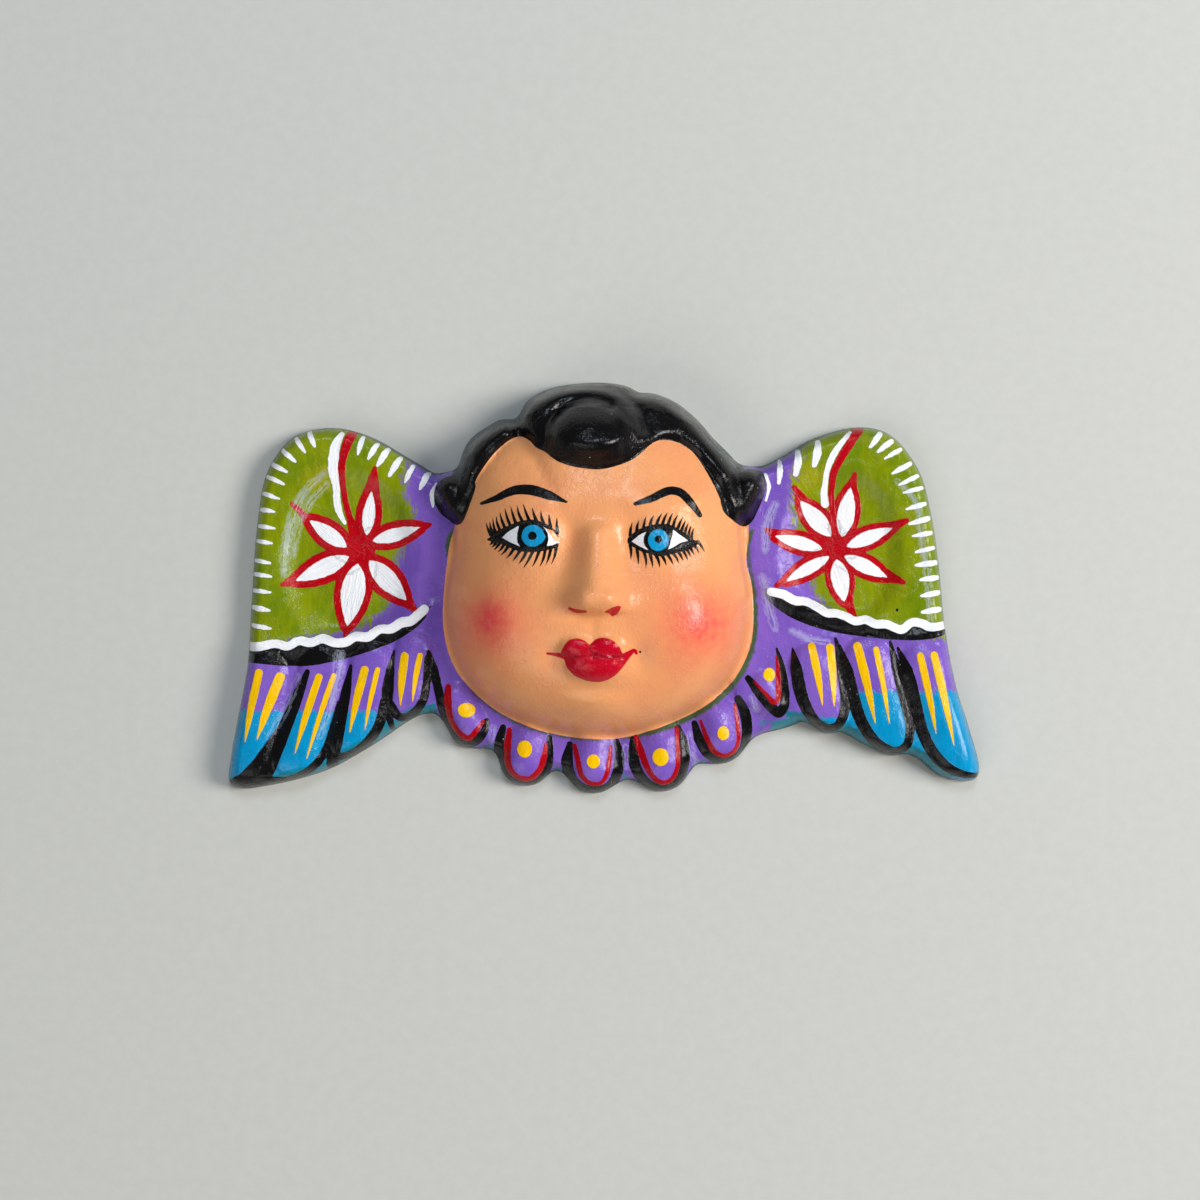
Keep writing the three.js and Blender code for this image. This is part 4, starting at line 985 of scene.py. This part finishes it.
def backPoints():
    # rings either side of the hollow's lip, a grid in the hollow and a wider one on the flat
    turn = np.linspace(0, 2 * np.pi, 181)[:-1]
    way = np.stack([np.cos(turn), np.sin(turn)], 1)
    ringAt = []
    for inset in mesh["lipRows"]:
        radius = headRadius(way + head["centre"]) - head["lip"] - inset
        ringAt.append(evenSteps(way * radius[:, None] + head["centre"], mesh["lipStep"], closed=True))
    bowl = shaken(hexGrid(mesh["hollowGrid"])[0], mesh["hollowGrid"], 0.03, 6)
    isDeep = fromHead(bowl) < headRadius(bowl) - head["lip"] - mesh["clearOfLip"]
    flat = shaken(hexGrid(mesh["backGrid"])[0], mesh["backGrid"], 0.03, 6)
    isClear = fromHead(flat) > headRadius(flat) - head["lip"] + mesh["clearOfHollow"]
    isClear &= insideMask(flat) > mesh["clearOfEdge"]
    return np.concatenate([*ringAt, bowl[isDeep], flat[isClear]])


def hollowHeight(at):
    share = fromHead(at) / (headRadius(at) - head["lip"])
    height = (head["relief"] - head["wall"]) * np.sqrt(np.maximum(0, 1 - share ** head["domePower"]))
    return height + np.where(share < 1, 0.5 * lumps(at, 16, 31) * fade(0, 10, height), 0)


def buildMask():
    heights = frontHeight(at, inside)
    heights[:ringCount] = 0
    triangles = [strip(ringCount * k, ringCount * (k + 1), ringCount) for k in range(len(rings) - 1)]
    firstFront = ringCount * (len(rings) - 1)
    triangles.append(trianglesOver(rings[-1], front) + firstFront)
    triangles = np.concatenate(triangles)
    # the carving's sharpest folds are softened as a brushed slip would
    edges = np.concatenate([triangles[:, [0, 1]], triangles[:, [1, 2]], triangles[:, [2, 0]]])
    degree = np.bincount(edges.ravel(), minlength=len(at))
    for _ in range(mesh["softenings"]):
        total = np.bincount(edges[:, 0], heights[edges[:, 1]], len(at))
        total += np.bincount(edges[:, 1], heights[edges[:, 0]], len(at))
        mean = total / np.maximum(degree, 1)
        heights[2 * ringCount:] += 0.5 * (mean - heights)[2 * ringCount:]
    back = backPoints()
    behind = trianglesOver(outline, back)[:, ::-1]
    behind = np.where(behind < ringCount, behind, behind - ringCount + len(at))
    places = np.concatenate([
        np.column_stack([at, heights]),
        np.column_stack([back, hollowHeight(back)]),
    ])
    return places, triangles, behind


print("modelling the clay")
places, frontFaces, backFaces = buildMask()
low, high = places.min(axis=0), places.max(axis=0)
cadLow, cadHigh = [np.array(corner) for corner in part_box("angel_mask")]
toFrame = (cadHigh[0] - cadLow[0]) / (high[0] - low[0])
middle, cadMiddle = (low + high) / 2, (cadLow + cadHigh) / 2
inFrame = places * (toFrame, toFrame, mm)
inFrame[:, :2] += cadMiddle[:2] - middle[:2] * toFrame

maskMesh = bpy.data.meshes.new("paintedMask")
maskMesh.from_pydata(inFrame.tolist(), [], np.concatenate([frontFaces, backFaces]).tolist())
maskMesh.polygons.foreach_set("use_smooth", np.ones(len(maskMesh.polygons), bool))
isBack = np.arange(len(maskMesh.polygons)) >= len(frontFaces)
maskMesh.polygons.foreach_set("material_index", isBack.astype(np.int32))
edgeEnds = np.zeros(2 * len(maskMesh.edges), np.int32)
maskMesh.edges.foreach_get("vertices", edgeEnds)
isRim = np.all(edgeEnds.reshape(-1, 2) < ringCount, axis=1)
sharp = maskMesh.attributes.new("sharp_edge", "BOOLEAN", "EDGE")
sharp.data.foreach_set("value", isRim)


def giveValues(name, values, missing):
    # one number for each vertex, with a plain one on the back
    whole = np.full(len(inFrame), missing, np.float32)
    whole[:len(values)] = values
    maskMesh.attributes.new(name, "FLOAT", "POINT").data.foreach_set("value", whole)


for name, coat in coats.items():
    giveValues(name, coat, -9)
giveValues("blush", blush, 0)
giveValues("rim", inside, 0)
for name, values in (("brush", brush), ("dryAndSheenBrush", dryAndSheenBrush)):
    whole = np.zeros((len(inFrame), 3), np.float32)
    whole[:len(values)] = values
    maskMesh.attributes.new(name, "FLOAT_VECTOR", "POINT").data.foreach_set("vector", whole.ravel())


def unwrap():
    # the front and the back lie side by side on the map, seen straight on, with the walls folded out
    spread, gap, backSize, backCorner = 1.5, 1, 0.78, (0.01, 0.565)
    loops = np.zeros(len(maskMesh.loops), np.int32)
    maskMesh.loops.foreach_get("vertex_index", loops)
    onBack = np.repeat(isBack, 3)
    plan = places[:, :2].copy()
    plan[:ringCount] -= inwards(outline) * spread
    wide = high[0] - low[0] + 2 * spread + 2 * gap
    uv = (plan[loops] - low[:2] + spread + gap) / wide
    uv[onBack] = (places[loops][onBack, :2] - low[:2]) / wide * backSize + backCorner
    maskMesh.uv_layers.new(name="OFBake").data.foreach_set("uv", uv.astype(np.float32).ravel())


unwrap()
mask = bpy.data.objects.new("paintedMask", maskMesh)
bpy.context.collection.objects.link(mask)
print("mask:", len(inFrame), "vertices,", len(maskMesh.polygons), "triangles")


# Node helpers

def paint(red, green, blue):
    # a paint's colour as seen, 0 to 255, for a shader
    seen = [part / 255 for part in (red, green, blue)]
    return (*[part / 12.92 if part <= 0.04045 else ((part + 0.055) / 1.055) ** 2.4 for part in seen], 1)


def wire(tree, source, target):
    if isinstance(source, bpy.types.NodeSocket):
        tree.links.new(source, target)
    else:
        target.default_value = source


def calc(tree, operation, a, b=0.0, clamped=False):
    made = tree.nodes.new("ShaderNodeMath")
    made.operation = operation
    made.use_clamp = clamped
    wire(tree, a, made.inputs[0])
    wire(tree, b, made.inputs[1])
    return made.outputs[0]


def mixColors(tree, factor, a, b):
    made = tree.nodes.new("ShaderNodeMix")
    made.data_type = "RGBA"
    wire(tree, factor, made.inputs[0])
    wire(tree, a, made.inputs[6])
    wire(tree, b, made.inputs[7])
    return made.outputs[2]


def ramp(tree, value, low, high, toLow=0.0, toHigh=1.0, smooth=True):
    made = tree.nodes.new("ShaderNodeMapRange")
    made.interpolation_type = "SMOOTHSTEP" if smooth else "LINEAR"
    for socket, source in zip(made.inputs[:5], (value, low, high, toLow, toHigh)):
        wire(tree, source, socket)
    return made.outputs[0]


def noise(tree, vector, scale, detail=2.0, roughness=0.5):
    made = tree.nodes.new("ShaderNodeTexNoise")
    wire(tree, vector, made.inputs["Vector"])
    made.inputs["Scale"].default_value = scale
    made.inputs["Detail"].default_value = detail
    made.inputs["Roughness"].default_value = roughness
    return made.outputs["Fac"]


def stretch(tree, vector, by):
    made = tree.nodes.new("ShaderNodeVectorMath")
    made.operation = "MULTIPLY"
    wire(tree, vector, made.inputs[0])
    wire(tree, by, made.inputs[1])
    return made.outputs[0]


def attribute(tree, name, output="Fac"):
    made = tree.nodes.new("ShaderNodeAttribute")
    made.attribute_name = name
    return made.outputs[output]


def makeGroup(name, inputs, outputs):
    tree = bpy.data.node_groups.new(name, "ShaderNodeTree")
    kinds = {1: "NodeSocketFloat", 3: "NodeSocketVector", 4: "NodeSocketColor"}
    for label, value in inputs.items():
        size = len(value) if isinstance(value, tuple) else 1
        socket = tree.interface.new_socket(name=label, in_out="INPUT", socket_type=kinds[size])
        socket.default_value = value
    for label, size in outputs.items():
        tree.interface.new_socket(name=label, in_out="OUTPUT", socket_type=kinds[size])
    return tree, tree.nodes.new("NodeGroupInput").outputs, tree.nodes.new("NodeGroupOutput").inputs


def useGroup(tree, group, inputs):
    made = tree.nodes.new("ShaderNodeGroup")
    made.node_tree = group
    for label, value in inputs.items():
        wire(tree, value, made.inputs[label])
    return made.outputs


# Effects that the materials share

def makeBrushMarks():
    # streaks that run along a stroke, and the uneven edge of a hand-drawn line
    tree, given, out = makeGroup("brushMarks", {
        "Stroke": (0.0, 0.0, 0.0), "Place": (0.0, 0.0, 0.0),
    }, {"Streaks": 1, "Wobble": 1})
    coarse = noise(tree, stretch(tree, given["Stroke"], (0.16, 1.5, 1.0)), 1.0, 3, 0.6)
    wire(tree, ramp(tree, coarse, 0.3, 0.7), out["Streaks"])
    edge = noise(tree, given["Place"], 0.55, 3, 0.6)
    wire(tree, ramp(tree, edge, 0.25, 0.75, -1.0, 1.0, smooth=False), out["Wobble"])
    return tree


def makePaintLayer():
    # one coat of paint over what is below it; Inside is the distance in millimetres within its strokes
    tree, given, out = makeGroup("paintLayer", {
        "Below Color": (0.5, 0.5, 0.5, 1.0), "Below Height": 0.0, "Paint": (1.0, 1.0, 1.0, 1.0),
        "Inside": -9.0, "Streaks": 0.5, "Wobble": 0.0, "Hand": 0.1, "Softness": 0.1, "Dryness": 0.0,
        "Opacity": 1.0, "Shade": 0.12, "Thickness": 0.06,
    }, {"Color": 4, "Height": 1, "Cover": 1})
    shifted = calc(tree, "ADD", given["Inside"], calc(tree, "MULTIPLY", given["Wobble"], given["Hand"]))
    edge = calc(tree, "DIVIDE", shifted, given["Softness"])
    gaps = ramp(tree, given["Streaks"], 0.0, 1.0, 4.0, -4.0, smooth=False)
    gaps = calc(tree, "MULTIPLY", given["Dryness"], gaps)
    cover = ramp(tree, calc(tree, "SUBTRACT", edge, gaps), -1.0, 1.0)
    cover = calc(tree, "MULTIPLY", cover, given["Opacity"])
    shade = calc(tree, "MULTIPLY", calc(tree, "SUBTRACT", given["Streaks"], 0.5), given["Shade"])
    shaded = tree.nodes.new("ShaderNodeHueSaturation")
    wire(tree, calc(tree, "ADD", shade, 1.0), shaded.inputs["Value"])
    wire(tree, given["Paint"], shaded.inputs["Color"])
    wire(tree, mixColors(tree, cover, given["Below Color"], shaded.outputs["Color"]), out["Color"])
    body = ramp(tree, given["Streaks"], 0.0, 1.0, 0.7, 1.3, smooth=False)
    body = calc(tree, "MULTIPLY", given["Thickness"], body)
    raised = calc(tree, "MULTIPLY", cover, body)
    wire(tree, calc(tree, "ADD", given["Below Height"], raised), out["Height"])
    wire(tree, cover, out["Cover"])
    return tree


def makeMottle():
    # two tones of one colour in soft brushed patches
    tree, given, out = makeGroup("mottle", {
        "Place": (0.0, 0.0, 0.0),
        "Color": (0.5, 0.5, 0.5, 1.0), "Other": (0.4, 0.4, 0.4, 1.0), "Amount": 1.0,
    }, {"Color": 4})
    broad = noise(tree, stretch(tree, given["Place"], (0.11, 0.05, 0.11)), 1.0, 4, 0.65)
    share = calc(tree, "MULTIPLY", ramp(tree, broad, 0.35, 0.65), given["Amount"])
    wire(tree, mixColors(tree, share, given["Color"], given["Other"]), out["Color"])
    return tree


def makeSpecks():
    # specks of dust stuck in the varnish
    tree, given, out = makeGroup("specks", {"Place": (0.0, 0.0, 0.0), "Amount": 0.2}, {"Mask": 1})
    cells = tree.nodes.new("ShaderNodeTexVoronoi")
    cells.inputs["Scale"].default_value = 0.42
    wire(tree, given["Place"], cells.inputs["Vector"])
    small = ramp(tree, cells.outputs["Distance"], 0.05, 0.13, 1.0, 0.0)
    split = tree.nodes.new("ShaderNodeSeparateColor")
    wire(tree, cells.outputs["Color"], split.inputs[0])
    chosen = calc(tree, "LESS_THAN", split.outputs[0], given["Amount"])
    wire(tree, calc(tree, "MULTIPLY", small, chosen), out["Mask"])
    return tree


def makeVarnish():
    # brushed varnish: fine ripples, dull places, and places where it has shrunk into curly folds
    tree, given, out = makeGroup("varnish", {
        "Place": (0.0, 0.0, 0.0), "Height": 0.0,
        "Gloss": 0.25, "Dull": 0.45, "Ripple": 0.05, "Folds": 0.02,
    }, {"Roughness": 1, "Height": 1})
    pools = noise(tree, given["Place"], 0.14, 4, 0.6)
    wire(tree, ramp(tree, pools, 0.38, 0.68, given["Gloss"], given["Dull"]), out["Roughness"])
    ripples = noise(tree, stretch(tree, given["Place"], (0.9, 0.35, 0.9)), 1.0, 4, 0.6)
    grain = noise(tree, given["Place"], 2.6, 2, 0.5)
    raised = calc(tree, "ADD", ripples, calc(tree, "MULTIPLY", grain, 0.35))
    raised = calc(tree, "ADD", given["Height"], calc(tree, "MULTIPLY", raised, given["Ripple"]))
    curls = noise(tree, given["Place"], 0.42, 2, 0.5)
    fromFold = calc(tree, "ABSOLUTE", calc(tree, "SUBTRACT", curls, 0.5))
    folded = ramp(tree, fromFold, 0.0, 0.07, 1.0, 0.0)
    folded = calc(tree, "MULTIPLY", folded, ramp(tree, pools, 0.42, 0.54))
    wire(tree, calc(tree, "ADD", raised, calc(tree, "MULTIPLY", folded, given["Folds"])), out["Height"])
    return tree


groups = dict(brushMarks=makeBrushMarks(), paintLayer=makePaintLayer(), mottle=makeMottle(),
              specks=makeSpecks(), varnish=makeVarnish())


def newMaterial(name):
    material = bpy.data.materials.new(name)
    material.use_nodes = True
    tree = material.node_tree
    tree.nodes.clear()
    shader = tree.nodes.new("ShaderNodeBsdfPrincipled")
    tree.links.new(shader.outputs[0], tree.nodes.new("ShaderNodeOutputMaterial").inputs[0])
    return material, tree, shader.inputs


def placeInMm(tree):
    where = tree.nodes.new("ShaderNodeTexCoord").outputs["Object"]
    return stretch(tree, where, (1000.0, 1000.0, 1000.0))


def bumped(tree, height):
    made = tree.nodes.new("ShaderNodeBump")
    made.inputs["Distance"].default_value = mm
    wire(tree, height, made.inputs["Height"])
    return made.outputs[0]


# The paints from the bottom coat to the top one
purple = dict(color=paint(134, 97, 198), other=paint(110, 78, 180), amount=0.7)
paints = [
    dict(coat="tips", color=paint(0, 146, 200), softness=0.5, hand=0.9, dryness=0.3, shade=0.2,
         thickness=0.03),
    dict(coat="field", color=paint(132, 146, 4), softness=1.6, hand=1.6, dryness=0.25, shade=0.2,
         thickness=0.03),
    dict(coat="moss", color=paint(166, 160, 30), softness=2.4, hand=1.6, dryness=0.1, opacity=0.55,
         shade=0.2, thickness=0.02),
    dict(coat="teal", color=paint(16, 126, 146), softness=0.7, hand=0.8, shade=0.2, thickness=0.0),
    dict(coat="jaw", color=paint(70, 92, 64), softness=0.5, hand=0.5, shade=0.3, thickness=0.0),
    dict(coat="skin", color=paint(241, 165, 108), softness=0.12, hand=0.1, shade=0.0, thickness=0.0),
    dict(coat="redUnder", color=paint(184, 0, 18), softness=0.1, hand=0.16, shade=0.25, thickness=0.09),
    dict(coat="white", color=paint(248, 250, 254), softness=0.1, hand=0.16, shade=0.05, thickness=0.1),
    dict(coat="black", color=paint(13, 12, 14), softness=0.09, hand=0.07, shade=0.3, thickness=0.07),
    dict(coat="redOver", color=paint(172, 0, 18), softness=0.1, hand=0.14, shade=0.25, thickness=0.07),
    dict(coat="lips", color=paint(194, 2, 34), softness=0.1, hand=0.08, shade=0.15, thickness=0.06),
    dict(coat="seam", color=paint(150, 0, 26), softness=0.4, hand=0.1, shade=0.1, thickness=0.0),
    dict(coat="yellow", color=paint(250, 196, 0), softness=0.1, hand=0.08, shade=0.16, thickness=0.1),
    dict(coat="iris", color=paint(16, 150, 204), softness=0.1, hand=0.12, shade=0.1, thickness=0.05),
    dict(coat="pupil", color=paint(12, 14, 16), softness=0.08, hand=0.05, shade=0.1, thickness=0.04),
]
finish = dict(
    patches=dict(color=paint(76, 118, 8), scale=(0.08, 0.05, 0.08), amount=0.5),  # in the bowls
    rosy=dict(color=paint(232, 140, 104), scale=0.07, amount=0.35),
    blush=dict(color=paint(236, 84, 80), scale=0.4),
    # pale bluish paint for the dry brushing and for the painted highlights and reflections
    dryAndSheenPaint={"Paint": paint(206, 216, 240), "Hand": 0.8, "Softness": 0.7, "Dryness": 0.85,
              "Opacity": 0.34, "Shade": 0.0, "Thickness": 0.02},
    wear=dict(color=paint(38, 74, 66), reach=0.9, amount=0.85),
    dust=dict(color=paint(190, 196, 200), share=0.13, amount=0.6),
    varnish={"Gloss": 0.15, "Dull": 0.28, "Ripple": 0.1, "Folds": 0.05},
    specular=0.26,
)
clay = dict(color=paint(184, 122, 86), other=paint(160, 98, 66), pits=paint(112, 66, 46), roughness=0.86)


def addPatches(tree, where, color, cover):
    look = finish["patches"]
    patches = ramp(tree, noise(tree, stretch(tree, where, look["scale"]), 1.0, 4, 0.65), 0.42, 0.66)
    patches = calc(tree, "MULTIPLY", patches, cover)
    return mixColors(tree, calc(tree, "MULTIPLY", patches, look["amount"]), color, look["color"])


def addBlush(tree, where, color, cover):
    look = finish["rosy"]
    rosy = ramp(tree, noise(tree, where, look["scale"], 4, 0.6), 0.4, 0.7, 0.0, look["amount"])
    color = mixColors(tree, calc(tree, "MULTIPLY", rosy, cover), color, look["color"])
    look = finish["blush"]
    uneven = ramp(tree, noise(tree, where, look["scale"], 3, 0.6), 0.3, 0.7, 0.75, 1.15, smooth=False)
    warm = calc(tree, "MULTIPLY", attribute(tree, "blush"), cover)
    warm = calc(tree, "MULTIPLY", warm, uneven, clamped=True)
    return mixColors(tree, warm, color, look["color"])


def paintedClay():
    material, tree, surface = newMaterial("paintedClay")
    where = placeInMm(tree)
    marks = useGroup(tree, groups["brushMarks"], {
        "Stroke": attribute(tree, "brush", "Vector"), "Place": where})
    color = useGroup(tree, groups["mottle"], {
        "Place": where, "Color": purple["color"], "Other": purple["other"],
        "Amount": purple["amount"]})["Color"]
    height = 0.0
    covers = {}
    for coat in paints:
        made = useGroup(tree, groups["paintLayer"], {
            "Below Color": color, "Below Height": height, "Paint": coat["color"],
            "Inside": attribute(tree, coat["coat"]), "Streaks": marks["Streaks"],
            "Wobble": marks["Wobble"], "Hand": coat["hand"], "Softness": coat["softness"],
            "Dryness": coat.get("dryness", 0.0), "Opacity": coat.get("opacity", 1.0),
            "Shade": coat["shade"], "Thickness": coat["thickness"]})
        color, height, covers[coat["coat"]] = made["Color"], made["Height"], made["Cover"]
        if coat["coat"] == "field":
            color = addPatches(tree, where, color, covers["field"])
        if coat["coat"] == "skin":
            color = addBlush(tree, where, color, covers["skin"])
    # pale dry brushing and painted highlights and reflections, laid over all the coats
    dryAndSheenStreaks = useGroup(tree, groups["brushMarks"], {
        "Stroke": attribute(tree, "dryAndSheenBrush", "Vector"), "Place": where})
    dryAndSheen = useGroup(tree, groups["paintLayer"], {
        "Below Color": color, "Below Height": height, "Inside": attribute(tree, "dryAndSheen"),
        "Streaks": dryAndSheenStreaks["Streaks"], "Wobble": dryAndSheenStreaks["Wobble"], **finish["dryAndSheenPaint"]})
    color, height = dryAndSheen["Color"], dryAndSheen["Height"]
    wear = finish["wear"]
    worn = calc(tree, "ADD", attribute(tree, "rim"), calc(tree, "MULTIPLY", marks["Wobble"], 0.5))
    worn = ramp(tree, worn, 0.1, wear["reach"], wear["amount"], 0.0)
    color = mixColors(tree, worn, color, wear["color"])
    dust = finish["dust"]
    specks = useGroup(tree, groups["specks"], {"Place": where, "Amount": dust["share"]})["Mask"]
    onBlack = calc(tree, "MULTIPLY", specks, calc(tree, "MULTIPLY", covers["black"], dust["amount"]))
    color = mixColors(tree, onBlack, color, dust["color"])
    coat = useGroup(tree, groups["varnish"], {"Place": where, "Height": height, **finish["varnish"]})
    wire(tree, color, surface["Base Color"])
    wire(tree, coat["Roughness"], surface["Roughness"])
    wire(tree, bumped(tree, coat["Height"]), surface["Normal"])
    surface["Specular IOR Level"].default_value = finish["specular"]
    return material


def bareClay():
    material, tree, surface = newMaterial("bareClay")
    where = placeInMm(tree)
    color = useGroup(tree, groups["mottle"], {
        "Place": where, "Color": clay["color"], "Other": clay["other"], "Amount": 1.0})["Color"]
    pits = useGroup(tree, groups["specks"], {"Place": where, "Amount": 0.5})["Mask"]
    color = mixColors(tree, calc(tree, "MULTIPLY", pits, 0.35), color, clay["pits"])
    fine = noise(tree, where, 1.4, 5, 0.65)
    pressed = noise(tree, where, 0.12, 3, 0.5)
    height = calc(tree, "MULTIPLY", pressed, 0.5)
    height = calc(tree, "ADD", calc(tree, "MULTIPLY", fine, 0.14), height)
    wire(tree, color, surface["Base Color"])
    surface["Roughness"].default_value = clay["roughness"]
    wire(tree, bumped(tree, height), surface["Normal"])
    return material


print("mixing the paints")
maskMesh.materials.append(paintedClay())
maskMesh.materials.append(bareClay())
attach(mask, "root")
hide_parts("angel_mask")


# The room: a pale floor, a window light from the right, a cooler one from the crown and a weak fill

room = dict(
    floorSize=6, floorDrop=0.0003, floorColor=paint(204, 205, 200), floorOther=paint(201, 202, 197),
    world=0.12,
)
lights = [
    dict(name="window", place=(1.5, 0.15, 1.25), size=0.9, power=35, color=(1, 0.97, 0.93)),
    dict(name="sky", place=(0.1, 1.0, 1.5), size=0.6, power=9, color=(0.74, 0.86, 1)),
    dict(name="fill", place=(-0.75, -1.15, 1.2), size=1.4, power=9, color=(1, 0.98, 0.96)),
]


def makeFloor():
    half, down = room["floorSize"] / 2, -room["floorDrop"]
    data = bpy.data.meshes.new("floor")
    corners = [(-half, -half, down), (half, -half, down), (half, half, down), (-half, half, down)]
    data.from_pydata(corners, [], [(0, 1, 2, 3)])
    material, tree, surface = newMaterial("paleFloor")
    grain = noise(tree, placeInMm(tree), 0.25, 4, 0.6)
    soft = ramp(tree, grain, 0.3, 0.7, 0.0, 1.0)
    wire(tree, mixColors(tree, soft, room["floorColor"], room["floorOther"]), surface["Base Color"])
    surface["Roughness"].default_value = 0.8
    # seen from below the floor is clear, so that the mask's back can be looked at
    clear = tree.nodes.new("ShaderNodeBsdfTransparent")
    choose = tree.nodes.new("ShaderNodeMixShader")
    output = tree.nodes["Material Output"]
    wire(tree, tree.nodes.new("ShaderNodeNewGeometry").outputs["Backfacing"], choose.inputs[0])
    wire(tree, output.inputs[0].links[0].from_socket, choose.inputs[1])
    wire(tree, clear.outputs[0], choose.inputs[2])
    wire(tree, choose.outputs[0], output.inputs[0])
    data.materials.append(material)
    floor = bpy.data.objects.new("floor", data)
    bpy.context.collection.objects.link(floor)


def addLights():
    for spec in lights:
        data = bpy.data.lights.new(spec["name"], "AREA")
        data.shape = "DISK"
        data.size = spec["size"]
        data.energy = spec["power"]
        data.color = spec["color"]
        light = bpy.data.objects.new(spec["name"], data)
        light.location = spec["place"]
        light.rotation_euler = (-Vector(spec["place"])).to_track_quat("-Z", "Y").to_euler()
        bpy.context.collection.objects.link(light)
    world = bpy.data.worlds.new("studio")
    world.use_nodes = True
    world.node_tree.nodes["Background"].inputs[0].default_value = (1, 1, 1, 1)
    world.node_tree.nodes["Background"].inputs[1].default_value = room["world"]
    bpy.context.scene.world = world


print("setting the room")
makeFloor()
addLights()
